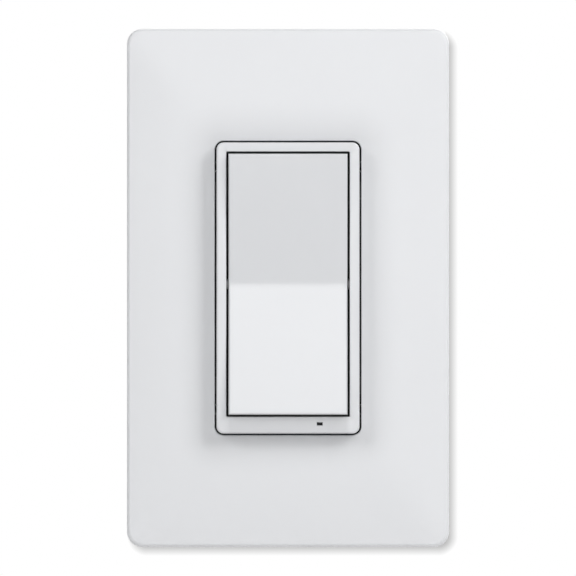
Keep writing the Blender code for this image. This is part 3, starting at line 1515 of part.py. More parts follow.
def triac():
    """Power switch that lies flat against the strap, with its leads bent back to the board."""
    front = -SEAT_GAP - PAD_THICKNESS - SEAT_GAP
    body_low = film_top - FILM_HEIGHT
    body_size = (TRIAC_WIDTH, TRIAC_BODY_HEIGHT, TRIAC_THICKNESS)
    where = (0.0, body_low + TRIAC_BODY_HEIGHT / 2, front - TRIAC_THICKNESS / 2)
    piece = place("triac", block_mesh("triac", *body_size), dark_plastic(), where)
    tab_height = TRIAC_TAB_HEIGHT + TRIAC_BODY_HEIGHT / 4
    tab_up = body_low + TRIAC_BODY_HEIGHT + TRIAC_TAB_HEIGHT - tab_height / 2
    tab_where = (0.0, tab_up, front - TRIAC_TAB_THICKNESS / 2)
    tab_size = (TRIAC_WIDTH - 2 * FILM_EDGE, tab_height, TRIAC_TAB_THICKNESS)
    tab = block("triac_tab", tab_where, tab_size)
    join(piece, tab)
    hole = rod_mesh("rivet_hole", RIVET_RADIUS + THREAD_GAP, TRIAC_THICKNESS, SMALL_HEAD_STEPS)
    cut(piece, helper("rivet_hole", hole, (0.0, rivet_up(), front)))
    lead_out = front - TRIAC_THICKNESS / 2
    for lead in (-1, 0, 1):
        across = lead * TRIAC_LEAD_PITCH
        foot_low = lead_up - TRIAC_LEAD_THICKNESS / 2
        foot_high = body_low + TRIAC_BODY_HEIGHT / 4
        foot_size = (TRIAC_LEAD_WIDTH, foot_high - foot_low, TRIAC_LEAD_THICKNESS)
        foot_where = (across, (foot_low + foot_high) / 2, lead_out)
        join(piece, block(f"lead_foot_{lead}", foot_where, foot_size))
        drop = lead_out + TRIAC_LEAD_THICKNESS / 2 - tail_end
        drop_size = (TRIAC_LEAD_WIDTH, TRIAC_LEAD_THICKNESS, drop)
        drop_where = (across, lead_up, tail_end + drop / 2)
        join(piece, block(f"lead_drop_{lead}", drop_where, drop_size))


def thermal_pad():
    body_low = film_top - FILM_HEIGHT
    height = TRIAC_TAB_HEIGHT + TRIAC_BODY_HEIGHT
    outline = rectangle(TRIAC_WIDTH / 2, height / 2, (0.0, body_low + height / 2))
    hole = circle(RIVET_RADIUS + THREAD_GAP, (0.0, rivet_up()), SMALL_HEAD_STEPS)
    mesh = outline_mesh("thermal_pad", [outline, hole], PAD_THICKNESS)
    place("thermal_pad", mesh, silicone_grey(), (0.0, 0.0, -SEAT_GAP - PAD_THICKNESS / 2))


def triac_rivet():
    seat = -SEAT_GAP - PAD_THICKNESS - SEAT_GAP - TRIAC_TAB_THICKNESS - SEAT_GAP
    shank = STRAP_THICKNESS - THREAD_GAP - seat
    profile = dome_points(RIVET_HEAD_RADIUS, 0.0, RIVET_HEAD_HEIGHT)
    profile.extend([(RIVET_RADIUS, 0.0), (RIVET_RADIUS, -shank), (0.0, -shank)])
    mesh = turned_mesh("triac_rivet", profile)
    piece = place("triac_rivet", mesh, screw_steel(), (0.0, rivet_up(), seat), ALONG_MINUS_Z)
    turn(piece, SMALL_HEAD_STEPS)


def choke_coil():
    """Ring choke lying on the board. Every second section is drawn in, between the turns."""
    shape = bmesh.new()
    rows = []
    section_steps = 8
    for section in range(2 * CHOKE_TURNS):
        angle = math.pi * section / CHOKE_TURNS
        size = CHOKE_SECTION * (CHOKE_GROOVE if section % 2 else 1.0)
        row = []
        for step in range(section_steps):
            around = 2 * math.pi * (step + 0.5) / section_steps
            radius = CHOKE_RADIUS + size * math.cos(around)
            point = (radius * math.cos(angle), radius * math.sin(angle), size * math.sin(around))
            row.append(shape.verts.new(point))
        rows.append(row)
    for first, second in zip(rows, rows[1:] + rows[:1]):
        for index in range(section_steps):
            after = (index + 1) % section_steps
            shape.faces.new((first[index], first[after], second[after], second[index]))
    where = (0.0, choke_up, power_seat + CHOKE_SECTION)
    place("choke_coil", finished_mesh("choke_coil", shape), copper(), where)


def film_capacitor():
    mesh = block_mesh("film_capacitor", FILM_WIDTH, FILM_HEIGHT, FILM_DEPTH)
    where = (0.0, film_top - FILM_HEIGHT / 2, power_seat + FILM_DEPTH / 2)
    round_edges(place("film_capacitor", mesh, film_yellow(), where), FILM_EDGE, 2)


def supply_transformer():
    """Small ferrite core around a taller bobbin."""
    up = transformer_top - TRANSFORMER_HEIGHT / 2
    core = (TRANSFORMER_WIDTH, TRANSFORMER_HEIGHT, TRANSFORMER_CORE_DEPTH)
    middle = power_seat + TRANSFORMER_DEPTH / 2
    mesh = block_mesh("supply_transformer", *core)
    piece = place("supply_transformer", mesh, ferrite(), (0.0, up, middle))
    bobbin = (
        TRANSFORMER_WIDTH - 2 * BOBBIN_INSET,
        TRANSFORMER_HEIGHT - BOBBIN_INSET,
        TRANSFORMER_DEPTH,
    )
    join(piece, block("bobbin", (0.0, up, middle), bobbin))


def bulk_capacitor():
    across = -(HEADER_PINS * PIN_PITCH / 2 + ROW_SPACE / 2 + CAPACITOR_RADIUS)
    groove = CAPACITOR_LENGTH / 8
    profile = [
        (0.0, CAPACITOR_LENGTH),
        (CAPACITOR_RADIUS - CAPACITOR_BEAD, CAPACITOR_LENGTH),
        (CAPACITOR_RADIUS, CAPACITOR_LENGTH - CAPACITOR_BEAD),
        (CAPACITOR_RADIUS, groove + CAPACITOR_BEAD),
        (CAPACITOR_RADIUS - CAPACITOR_BEAD, groove),
        (CAPACITOR_RADIUS, groove - CAPACITOR_BEAD),
        (CAPACITOR_RADIUS, 0.0),
        (0.0, 0.0),
    ]
    mesh = turned_mesh("bulk_capacitor", profile)
    where = (across, small_row_low + CAPACITOR_RADIUS, power_seat)
    turn(place("bulk_capacitor", mesh, sleeve_black(), where), HEAD_STEPS)


def fuse():
    across = HEADER_PINS * PIN_PITCH / 2 + ROW_SPACE / 2 + FUSE_WIDTH / 2
    mesh = block_mesh("fuse", FUSE_WIDTH, FUSE_HEIGHT, FUSE_DEPTH)
    where = (across, small_row_low + FUSE_HEIGHT / 2, power_seat + FUSE_DEPTH / 2)
    round_edges(place("fuse", mesh, dark_plastic(), where), FILM_EDGE)


def varistor():
    """Disc that stands on its leads between the transformer and the header."""
    up = small_row_low + VARISTOR_THICKNESS / 2
    out = power_seat + VARISTOR_LEAD_LENGTH + VARISTOR_RADIUS
    mesh = rod_mesh("varistor", VARISTOR_RADIUS, VARISTOR_THICKNESS, HEAD_STEPS)
    piece = place("varistor", mesh, varistor_blue(), (0.0, up, out), ALONG_MINUS_Y)
    round_edges(piece, FILM_EDGE, 2)
    for side in (1, -1):
        across = side * VARISTOR_RADIUS / 2
        lead = (TRIAC_LEAD_WIDTH, TRIAC_LEAD_WIDTH, VARISTOR_LEAD_LENGTH + VARISTOR_RADIUS / 2)
        join(piece, block(f"varistor_lead_{side}", (across, up, power_seat + lead[2] / 2), lead))


def build():
    clear_scene()
    prepare_scene()
    cover_plate()
    mounting_subplate()
    plate_screws()
    strap()
    ground_screw()
    mounting_screws()
    screw_retainers()
    front_frame()
    paddle()
    return_springs()
    insulator_sheet()
    control_board()
    tact_switches()
    buttons()
    indicator()
    radio_module()
    rear_housing()
    housing_screws()
    terminals()
    power_board()
    board_header()
    triac()
    thermal_pad()
    triac_rivet()
    choke_coil()
    film_capacitor()
    supply_transformer()
    bulk_capacitor()
    fuse()
    varistor()


build()
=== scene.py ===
"""Looks of the wall dimmer switch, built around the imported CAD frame. Sizes are in metres.

X runs to the right as seen from the room, Y into the wall and Z up. The wall plane is at Y = 0.
"""

import math

import bpy
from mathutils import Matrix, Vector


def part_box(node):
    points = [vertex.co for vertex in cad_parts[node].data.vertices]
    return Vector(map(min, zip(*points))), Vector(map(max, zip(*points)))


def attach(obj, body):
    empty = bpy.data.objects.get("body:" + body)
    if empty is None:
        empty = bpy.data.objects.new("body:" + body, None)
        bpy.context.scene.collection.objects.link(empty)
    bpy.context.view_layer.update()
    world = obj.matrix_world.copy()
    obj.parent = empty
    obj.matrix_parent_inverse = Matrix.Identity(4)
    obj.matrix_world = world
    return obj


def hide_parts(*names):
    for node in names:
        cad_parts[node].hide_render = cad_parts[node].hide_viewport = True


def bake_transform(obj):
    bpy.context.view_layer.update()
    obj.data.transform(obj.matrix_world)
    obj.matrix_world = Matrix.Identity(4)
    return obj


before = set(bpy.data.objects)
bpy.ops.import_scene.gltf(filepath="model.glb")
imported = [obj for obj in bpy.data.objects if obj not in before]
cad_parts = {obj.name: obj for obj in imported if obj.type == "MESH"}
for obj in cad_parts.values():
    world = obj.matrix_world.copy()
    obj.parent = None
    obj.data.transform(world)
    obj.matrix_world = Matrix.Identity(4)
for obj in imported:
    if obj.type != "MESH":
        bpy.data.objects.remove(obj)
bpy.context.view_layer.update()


# Strap: stamped aluminium yoke that everything hangs on. It also takes the heat of the power
# switch, and its ears rest on the wall. The bare sheet shows its rolling marks.

SURFACE_OUTPUTS = [
    ("Color", "NodeSocketColor"),
    ("Roughness", "NodeSocketFloat"),
    ("Height", "NodeSocketFloat"),
]


def effect_group(name, inputs, outputs):
    """An empty shader group with its sockets. Returns it with its input and output nodes."""
    group = bpy.data.node_groups.new(name, "ShaderNodeTree")
    for socket, kind, value in inputs:
        made = group.interface.new_socket(name=socket, in_out="INPUT", socket_type=kind)
        if value is not None:
            made.default_value = value
    for socket, kind in outputs:
        group.interface.new_socket(name=socket, in_out="OUTPUT", socket_type=kind)
    return group, group.nodes.new("NodeGroupInput"), group.nodes.new("NodeGroupOutput")


def noise(group, vector, scale, detail, roughness=0.5):
    node = group.nodes.new("ShaderNodeTexNoise")
    node.inputs["Detail"].default_value = detail
    node.inputs["Roughness"].default_value = roughness
    if isinstance(scale, (int, float)):
        node.inputs["Scale"].default_value = scale
    else:
        group.links.new(scale, node.inputs["Scale"])
    group.links.new(vector, node.inputs["Vector"])
    return node.outputs["Fac"]


def arithmetic(group, operation, first, second):
    node = group.nodes.new("ShaderNodeMath")
    node.operation = operation
    for socket, value in zip(node.inputs, (first, second)):
        if isinstance(value, (int, float)):
            socket.default_value = value
        else:
            group.links.new(value, socket)
    return node.outputs["Value"]


def mixed_colour(group, share, first, second):
    node = group.nodes.new("ShaderNodeMix")
    node.data_type = "RGBA"
    for socket, value in (("Factor_Float", share), ("A_Color", first), ("B_Color", second)):
        target = next(item for item in node.inputs if item.identifier == socket)
        group.links.new(value, target)
    return next(item for item in node.outputs if item.identifier == "Result_Color")


STREAK_STRETCH = (6.0, 6.0, 0.3)
STREAK_CLOUD = 160.0
STREAK_CONTRAST = 2.6


def build_metal_group():
    """Streaks of rolled or drawn metal: tone, roughness and a shallow height."""
    group, start, end = effect_group(
        "metal_streaks",
        [
            ("Vector", "NodeSocketVector", None),
            ("Light", "NodeSocketColor", (0.75, 0.75, 0.75, 1.0)),
            ("Dark", "NodeSocketColor", (0.6, 0.6, 0.6, 1.0)),
            ("Roughness", "NodeSocketFloat", 0.35),
            ("Spread", "NodeSocketFloat", 0.15),
            ("Scale", "NodeSocketFloat", 900.0),
        ],
        SURFACE_OUTPUTS,
    )
    stretch = group.nodes.new("ShaderNodeMapping")
    stretch.inputs["Scale"].default_value = STREAK_STRETCH
    group.links.new(start.outputs["Vector"], stretch.inputs["Vector"])
    streaks = noise(
        group, stretch.outputs["Vector"], start.outputs["Scale"], detail=4.0, roughness=0.6
    )
    cloud = noise(group, start.outputs["Vector"], STREAK_CLOUD, detail=3.0)
    both = arithmetic(group, "MULTIPLY", streaks, cloud)
    share = arithmetic(group, "MULTIPLY", both, STREAK_CONTRAST)
    colour = mixed_colour(group, share, start.outputs["Dark"], start.outputs["Light"])
    group.links.new(colour, end.inputs["Color"])
    swing = arithmetic(group, "MULTIPLY", streaks, start.outputs["Spread"])
    rough = arithmetic(group, "ADD", start.outputs["Roughness"], swing)
    group.links.new(rough, end.inputs["Roughness"])
    group.links.new(streaks, end.inputs["Height"])
    return group


metal_streaks = build_metal_group()


def build_distance_group():
    """How far a point lies outside a rounded rectangle, seen from the room.

    Straight is half the length of the rectangle's straight sides.
    """
    group, start, end = effect_group(
        "outline_distance",
        [
            ("Vector", "NodeSocketVector", None),
            ("Middle", "NodeSocketVector", (0.0, 0.0, 0.0)),
            ("Straight", "NodeSocketVector", (0.01, 0.0, 0.01)),
            ("Corner", "NodeSocketFloat", 0.002),
        ],
        [("Distance", "NodeSocketFloat")],
    )

    def vectors(operation, first, second):
        node = group.nodes.new("ShaderNodeVectorMath")
        node.operation = operation
        for socket, value in zip(node.inputs, (first, second)):
            if isinstance(value, tuple):
                socket.default_value = value
            elif value is not None:
                group.links.new(value, socket)
        return node.outputs["Value" if operation == "LENGTH" else "Vector"]

    centred = vectors("SUBTRACT", start.outputs["Vector"], start.outputs["Middle"])
    flat = vectors("MULTIPLY", centred, (1.0, 0.0, 1.0))
    folded = vectors("ABSOLUTE", flat, None)
    past = vectors("SUBTRACT", folded, start.outputs["Straight"])
    outside = vectors("MAXIMUM", past, (0.0, 0.0, 0.0))
    away = arithmetic(
        group, "SUBTRACT", vectors("LENGTH", outside, None), start.outputs["Corner"]
    )
    group.links.new(away, end.inputs["Distance"])
    return group


DEEP_SHADE = (0.012, 0.012, 0.013, 1.0)
SHADE_FADE = 0.0004


def darkened(group, share, colour):
    dark = group.nodes.new("ShaderNodeRGB")
    dark.outputs["Color"].default_value = DEEP_SHADE
    return mixed_colour(group, share, colour, dark.outputs["Color"])


def build_line_shade_group():
    """Shade in an open line around a rounded rectangle.

    Near is how close to the outline it is. It lies between Floor and Height in front of the wall.
    """
    group, start, end = effect_group(
        "line_shade",
        [
            ("Vector", "NodeSocketVector", None),
            ("Color", "NodeSocketColor", (0.8, 0.8, 0.8, 1.0)),
            ("Middle", "NodeSocketVector", (0.0, 0.0, 0.0)),
            ("Straight", "NodeSocketVector", (0.01, 0.0, 0.01)),
            ("Corner", "NodeSocketFloat", 0.002),
            ("Near", "NodeSocketFloat", 0.0001),
            ("Height", "NodeSocketFloat", 0.0068),
            ("Floor", "NodeSocketFloat", -0.03),
        ],
        [("Color", "NodeSocketColor")],
    )
    distance = group.nodes.new("ShaderNodeGroup")
    distance.node_tree = outline_distance
    for socket in ("Vector", "Middle", "Straight", "Corner"):
        group.links.new(start.outputs[socket], distance.inputs[socket])
    away = arithmetic(group, "ABSOLUTE", distance.outputs["Distance"], 0.0)
    close = arithmetic(group, "LESS_THAN", away, start.outputs["Near"])
    parts = group.nodes.new("ShaderNodeSeparateXYZ")
    group.links.new(start.outputs["Vector"], parts.inputs["Vector"])
    below = arithmetic(group, "ADD", parts.outputs["Y"], start.outputs["Height"])
    depth = arithmetic(group, "DIVIDE", below, SHADE_FADE)
    depth.node.use_clamp = True
    out = arithmetic(group, "MULTIPLY", parts.outputs["Y"], -1.0)
    above = arithmetic(group, "GREATER_THAN", out, start.outputs["Floor"])
    share = arithmetic(group, "MULTIPLY", arithmetic(group, "MULTIPLY", close, depth), above)
    group.links.new(darkened(group, share, start.outputs["Color"]), end.inputs["Color"])
    return group


outline_distance = build_distance_group()
line_shade = build_line_shade_group()


# Half width, half height and corner of the open lines around the frame and the paddle
FRAME_LINE = (0.01657, 0.03352, 0.0018)
PADDLE_LINE = (0.01389, 0.03010, 0.0003)
LINE_HEIGHT = 0.0100
PADDLE_UP = 0.000875


def outline(half_width, half_height, corner, near, height, up=0.0, side=0.0, floor=-0.03):
    """The line shade around one outline, with its values."""
    return line_shade, {
        "Middle": (side, 0.0, up),
        "Straight": (half_width - corner, 0.0, half_height - corner),
        "Corner": corner,
        "Near": near,
        "Height": height,
        "Floor": floor,
    }


def dressed(name, group, values, bump, shades=(), **constants):
    """A material whose colour, roughness and bump come from an effect group with these values.

    Bump is the strength and the depth of the relief. The shades darken the colour in turn.
    """
    material = bpy.data.materials.new(name)
    material.use_nodes = True
    tree = material.node_tree
    surface = tree.nodes["Principled BSDF"]
    for socket, value in constants.items():
        surface.inputs[socket.replace("_", " ")].default_value = value
    effect = tree.nodes.new("ShaderNodeGroup")
    effect.node_tree = group
    for socket, value in values.items():
        effect.inputs[socket].default_value = value
    where = tree.nodes.new("ShaderNodeTexCoord")
    tree.links.new(where.outputs["Object"], effect.inputs["Vector"])
    colour = effect.outputs["Color"]
    for shade, shade_values in shades:
        darker = tree.nodes.new("ShaderNodeGroup")
        darker.node_tree = shade
        for socket, value in shade_values.items():
            darker.inputs[socket].default_value = value
        tree.links.new(where.outputs["Object"], darker.inputs["Vector"])
        tree.links.new(colour, darker.inputs["Color"])
        colour = darker.outputs["Color"]
    tree.links.new(colour, surface.inputs["Base Color"])
    tree.links.new(effect.outputs["Roughness"], surface.inputs["Roughness"])
    relief = tree.nodes.new("ShaderNodeBump")
    relief.inputs["Strength"].default_value = bump[0]
    relief.inputs["Distance"].default_value = bump[1]
    tree.links.new(effect.outputs["Height"], relief.inputs["Height"])
    tree.links.new(relief.outputs["Normal"], surface.inputs["Normal"])
    return material


def streaked_metal(name, light, dark, roughness, spread, scale, bump, shades=(), metallic=1.0):
    """Rolled, drawn or plated metal."""
    return dressed(
        name,
        metal_streaks,
        {
            "Light": (*light, 1.0),
            "Dark": (*dark, 1.0),
            "Roughness": roughness,
            "Spread": spread,
            "Scale": scale,
        },
        bump,
        shades,
        Metallic=metallic,
    )


def deselect():
    if bpy.context.object and bpy.context.object.mode != "OBJECT":
        bpy.ops.object.mode_set(mode="OBJECT")
    bpy.ops.object.select_all(action="DESELECT")


def make_active(piece):
    deselect()
    piece.select_set(True)
    bpy.context.view_layer.objects.active = piece


def smoothed(piece, angle):
    """Blends facets below this angle and keeps the broad flat faces flat."""
    make_active(piece)
    bpy.ops.object.shade_smooth_by_angle(angle=math.radians(angle))
    weigh = piece.modifiers.new("weigh", "WEIGHTED_NORMAL")
    weigh.keep_sharp = True
    bpy.ops.object.modifier_apply(modifier=weigh.name)


MERGE = 0.000001


def refined(node, body, material, round_by=0.0, angle=35.0):
    """A merged copy of a CAD node with its facets blended and its sharp edges broken.

    A piece that bends between two bodies is given no body here.
    """
    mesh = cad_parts[node].data.copy()
    mesh.materials.clear()
    piece = bpy.data.objects.new("fine_" + node, mesh)
    bpy.context.scene.collection.objects.link(piece)
    make_active(piece)
    bpy.ops.object.mode_set(mode="EDIT")
    bpy.ops.mesh.select_all(action="SELECT")
    bpy.ops.mesh.remove_doubles(threshold=2 * MERGE)
    bpy.ops.mesh.dissolve_limited(angle_limit=math.radians(0.5))
    bpy.ops.object.mode_set(mode="OBJECT")
    if round_by:
        bevel = piece.modifiers.new("broken_edges", "BEVEL")
        bevel.width = round_by
        bevel.segments = 2
        bevel.limit_method = "ANGLE"
        bevel.angle_limit = math.radians(angle)
        bpy.ops.object.modifier_apply(modifier=bevel.name)
    smoothed(piece, angle)
    piece.data.materials.append(material)
    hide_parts(node)
    if body:
        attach(piece, body)
    return piece


# The shade on the strap stays in front of the wall plane, off the sides that face the box
STRAP_FLOOR = 0.0002
strap_line_shade = outline(*FRAME_LINE, near=0.0006, height=LINE_HEIGHT, floor=STRAP_FLOOR)
rolled_aluminium = streaked_metal(
    "rolled_aluminium",
    light=(0.80, 0.81, 0.82),
    dark=(0.60, 0.61, 0.63),
    roughness=0.30,
    spread=0.18,
    scale=700.0,
    bump=(0.10, 0.00002),
    shades=[
        strap_line_shade,
        outline(
            *PADDLE_LINE, near=0.0008, height=LINE_HEIGHT, up=PADDLE_UP, floor=STRAP_FLOOR
        ),
    ],
)
refined("strap", "switch_body", rolled_aluminium, 0.00012)


# Screws: zinc-plated steel with slotted heads. Two long ones hold the strap to the wall box, a
# green one takes the earth wire and small ones close the housing. Their threads are rolled.

plated_steel = streaked_metal(
    "plated_steel",
    light=(0.74, 0.75, 0.77),
    dark=(0.55, 0.56, 0.58),
    roughness=0.22,
    spread=0.14,
    scale=1500.0,
    bump=(0.08, 0.00001),
    # Painted shade on the screw tips seen down the open line around the frame
    shades=[strap_line_shade],
)
earth_green = streaked_metal(
    "earth_green",
    light=(0.05, 0.34, 0.13),
    dark=(0.03, 0.24, 0.09),
    roughness=0.28,
    spread=0.14,
    scale=1500.0,
    bump=(0.08, 0.00001),
    metallic=0.7,
)
THREAD_DEPTH = 0.00028
THREAD_PITCH = 0.0008
THREAD_STEPS = 16
X, Y, Z = range(3)


def shank(node, axis, under_head):
    """A screw's axis from under its head to its tip, the far end of its CAD node."""
    low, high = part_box(node)
    start = (low + high) / 2
    end = start.copy()
    start[axis] = under_head
    end[axis] = max(low[axis], high[axis], key=lambda tip: abs(tip - under_head))
    return start, end


def threaded(screw, start, end, radius):
    """Cuts the shank down from start to end and winds a three-sided ridge around it."""
    along = (end - start).normalized()
    make_active(screw)
    bpy.ops.object.mode_set(mode="EDIT")
    bpy.context.tool_settings.mesh_select_mode = (True, False, False)
    for place in (start, start + along * THREAD_DEPTH):
        bpy.ops.mesh.select_all(action="SELECT")
        bpy.ops.mesh.bisect(plane_co=place, plane_no=along)
    bpy.ops.mesh.select_all(action="DESELECT")
    bpy.ops.object.mode_set(mode="OBJECT")
    # All that lies beyond the second cut
    for point in screw.data.vertices:
        point.select = (point.co - start).dot(along) > THREAD_DEPTH * 0.9
    bpy.ops.object.mode_set(mode="EDIT")
    cut = 1 - THREAD_DEPTH / radius
    bpy.ops.transform.resize(
        value=[1.0 if abs(part) > 0.5 else cut for part in along], center_override=start
    )
    bpy.ops.object.mode_set(mode="OBJECT")
    deselect()
    ridge = THREAD_PITCH / 2
    bpy.ops.mesh.primitive_circle_add(
        vertices=3,
        radius=ridge,
        location=(radius - ridge, 0.0, 0.0),
        rotation=(0.0, 0.0, -math.pi / 2),
    )
    wound = bpy.context.object
    bpy.ops.object.transform_apply(location=True, rotation=True, scale=True)
    bpy.ops.object.mode_set(mode="EDIT")
    bpy.ops.mesh.select_all(action="SELECT")
    bpy.ops.transform.rotate(
        value=math.pi / 2, orient_axis="X", center_override=(radius - ridge, 0.0, 0.0)
    )
    bpy.ops.object.mode_set(mode="OBJECT")
    turns = int(((end - start).length - 3 * ridge) / THREAD_PITCH)
    winding = wound.modifiers.new("winding", "SCREW")
    winding.angle = 2 * math.pi
    winding.iterations = turns
    winding.steps = winding.render_steps = THREAD_STEPS
    winding.screw_offset = THREAD_PITCH
    bpy.ops.object.modifier_apply(modifier=winding.name)
    bpy.ops.object.mode_set(mode="EDIT")
    bpy.ops.mesh.select_all(action="SELECT")
    bpy.ops.mesh.fill_holes(sides=3)
    bpy.ops.mesh.normals_make_consistent(inside=False)
    bpy.ops.object.mode_set(mode="OBJECT")
    wound.rotation_euler = along.to_track_quat("Z", "Y").to_euler()
    wound.location = start + along * 2 * ridge
    bpy.ops.object.transform_apply(location=True, rotation=True, scale=True)
    make_active(screw)
    wound.select_set(True)
    bpy.ops.object.join()
    smoothed(screw, 30.0)


for node in ("mounting_screw_top", "mounting_screw_bottom"):
    screw = refined(node, "switch_body", plated_steel)
    threaded(screw, *shank(node, Y, under_head=0.0012), radius=0.0017)
for number in range(1, 5):
    refined(f"housing_screw_{number}", "switch_body", plated_steel)
screw = refined("ground_screw", "switch_body", earth_green)
threaded(screw, *shank("ground_screw", Z, under_head=-0.0314), radius=0.0019)
refined("triac_rivet", "switch_body", plated_steel)


# Screw retainers: squares stamped from pressed fibre board. They are pushed on the long screws
# behind the ears, and keep them from falling out.

FIBRE_SPREAD = 0.1


def build_fibre_group():
    """Matted fibres: speckled tone and a coarse height."""
    group, start, end = effect_group(
        "matted_fibre",
        [
            ("Vector", "NodeSocketVector", None),
            ("Light", "NodeSocketColor", (0.5, 0.36, 0.22, 1.0)),
            ("Dark", "NodeSocketColor", (0.36, 0.24, 0.14, 1.0)),
            ("Roughness", "NodeSocketFloat", 0.85),
            ("Scale", "NodeSocketFloat", 2200.0),
        ],
        SURFACE_OUTPUTS,
    )
    speckle = noise(
        group, start.outputs["Vector"], start.outputs["Scale"], detail=6.0, roughness=0.7
    )
    colour = mixed_colour(group, speckle, start.outputs["Dark"], start.outputs["Light"])
    group.links.new(colour, end.inputs["Color"])
    swing = arithmetic(group, "MULTIPLY", speckle, FIBRE_SPREAD)
    rough = arithmetic(group, "ADD", start.outputs["Roughness"], swing)
    group.links.new(rough, end.inputs["Roughness"])
    group.links.new(speckle, end.inputs["Height"])
    return group


matted_fibre = build_fibre_group()
fibre_board = dressed(
    "fibre_board",
    matted_fibre,
    {"Light": (0.52, 0.37, 0.22, 1.0), "Dark": (0.33, 0.21, 0.12, 1.0), "Roughness": 0.8},
    (0.5, 0.00005),
)
for node in ("screw_retainer_top", "screw_retainer_bottom"):
    refined(node, "switch_body", fibre_board)


# Rear housing: moulded dark grey box for the power parts, with wells for the terminals and a
# spark-eroded grain on its outside.

def build_moulded_group():
    """Moulded plastic: a fine skin grain, faint flow clouds and a little uneven gloss."""
    group, start, end = effect_group(
        "moulded_skin",
        [
            ("Vector", "NodeSocketVector", None),
            ("Light", "NodeSocketColor", (0.85, 0.86, 0.88, 1.0)),
            ("Dark", "NodeSocketColor", (0.82, 0.83, 0.85, 1.0)),
            ("Roughness", "NodeSocketFloat", 0.4),
            ("Spread", "NodeSocketFloat", 0.06),
            ("Grain", "NodeSocketFloat", 9000.0),
            ("Cloud", "NodeSocketFloat", 60.0),
        ],
        SURFACE_OUTPUTS,
    )
    grain = noise(
        group, start.outputs["Vector"], start.outputs["Grain"], detail=3.0, roughness=0.55
    )
    cloud = noise(group, start.outputs["Vector"], start.outputs["Cloud"], detail=4.0)
    colour = mixed_colour(group, cloud, start.outputs["Dark"], start.outputs["Light"])
    group.links.new(colour, end.inputs["Color"])
    swing = arithmetic(group, "MULTIPLY", cloud, start.outputs["Spread"])
    rough = arithmetic(group, "ADD", start.outputs["Roughness"], swing)
    group.links.new(rough, end.inputs["Roughness"])
    group.links.new(grain, end.inputs["Height"])
    return group


moulded_skin = build_moulded_group()


def moulding(
    name, light, dark, roughness, spread=0.08, grain=5000.0, cloud=180.0, bump=(0.2, 0.00002),
    shades=(), **constants
):
    """Moulded plastic, lacquer, rubber or film."""
    return dressed(
        name,
        moulded_skin,
        {
            "Light": (*light, 1.0),
            "Dark": (*dark, 1.0),
            "Roughness": roughness,
            "Spread": spread,
            "Grain": grain,
            "Cloud": cloud,
        },
        bump,
        shades,
        **constants,
    )


housing_grain = moulding(
    "housing_grain",
    light=(0.175, 0.18, 0.185),
    dark=(0.145, 0.15, 0.155),
    roughness=0.48,
    spread=0.10,
    grain=3500.0,
    cloud=90.0,
    bump=(0.35, 0.00004),
)
refined("rear_housing", "switch_body", housing_grain, 0.0002)


# Terminals: brass plates and clamps in the side wells, with brass screws on the live side and
# plated ones on the other.

terminal_brass = streaked_metal(
    "terminal_brass",
    light=(0.80, 0.60, 0.27),
    dark=(0.62, 0.43, 0.17),
    roughness=0.24,
    spread=0.16,
    scale=1200.0,
    bump=(0.10, 0.00001),
)
for wire in ("line", "load", "neutral", "traveler"):
    refined(f"terminal_plate_{wire}", "switch_body", terminal_brass)
    refined(f"clamp_plate_{wire}", "switch_body", terminal_brass)
for wire, side, metal, slot in (
    ("line", -1, terminal_brass, "brass"),
    ("load", -1, terminal_brass, "brass"),
    ("neutral", 1, plated_steel, "screw_steel"),
    ("traveler", 1, plated_steel, "screw_steel"),
):
    node = f"terminal_screw_{wire}"
    screw = refined(node, "switch_body", metal)
    threaded(screw, *shank(node, X, under_head=side * 0.0188), radius=0.0018)


# Inner parts: two boards in green lacquer with their moulded, wound and dipped components, which
# are soldered on. Two springs of drawn wire stand between the control board and the paddle.

def repaint(node, material):
    """A CAD node that keeps its shape and gets this material in each of its slots."""
    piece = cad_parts[node]
    for slot in piece.material_slots:
        slot.material = material


board_lacquer = moulding(
    "board_lacquer",
    (0.035, 0.20, 0.10),
    (0.025, 0.14, 0.07),
    0.30,
    # Painted shade where the boards show down the open lines around the frame and the paddle
    shades=[
        outline(*FRAME_LINE, near=0.0010, height=LINE_HEIGHT),
        outline(*PADDLE_LINE, near=0.0010, height=LINE_HEIGHT, up=PADDLE_UP),
    ],
)
black_moulding = moulding("black_moulding", (0.035, 0.035, 0.04), (0.02, 0.02, 0.025), 0.42)
pressed_ferrite = moulding("pressed_ferrite", (0.07, 0.07, 0.075), (0.04, 0.04, 0.045), 0.6)
clear_lamp = moulding("clear_lamp", (0.80, 0.82, 0.74), (0.70, 0.73, 0.65), 0.18)
soft_pad = moulding("soft_pad", (0.50, 0.52, 0.55), (0.42, 0.44, 0.47), 0.8)
yellow_box = moulding("yellow_box", (0.74, 0.54, 0.10), (0.66, 0.46, 0.07), 0.42)
shrunk_sleeve = moulding("shrunk_sleeve", (0.03, 0.035, 0.06), (0.02, 0.02, 0.04), 0.3)
dipped_blue = moulding("dipped_blue", (0.05, 0.13, 0.38), (0.04, 0.10, 0.30), 0.35)
clear_film = moulding("clear_film", (0.82, 0.80, 0.68), (0.76, 0.74, 0.62), 0.4)
wound_copper = streaked_metal(
    "wound_copper",
    light=(0.80, 0.38, 0.17),
    dark=(0.55, 0.24, 0.10),
    roughness=0.25,
    spread=0.1,
    scale=1500.0,
    bump=(0.15, 0.00003),
)
drawn_spring_wire = streaked_metal(
    "drawn_spring_wire",
    light=(0.62, 0.63, 0.65),
    dark=(0.45, 0.46, 0.48),
    roughness=0.2,
    spread=0.1,
    scale=3000.0,
    bump=(0.05, 0.00001),
)
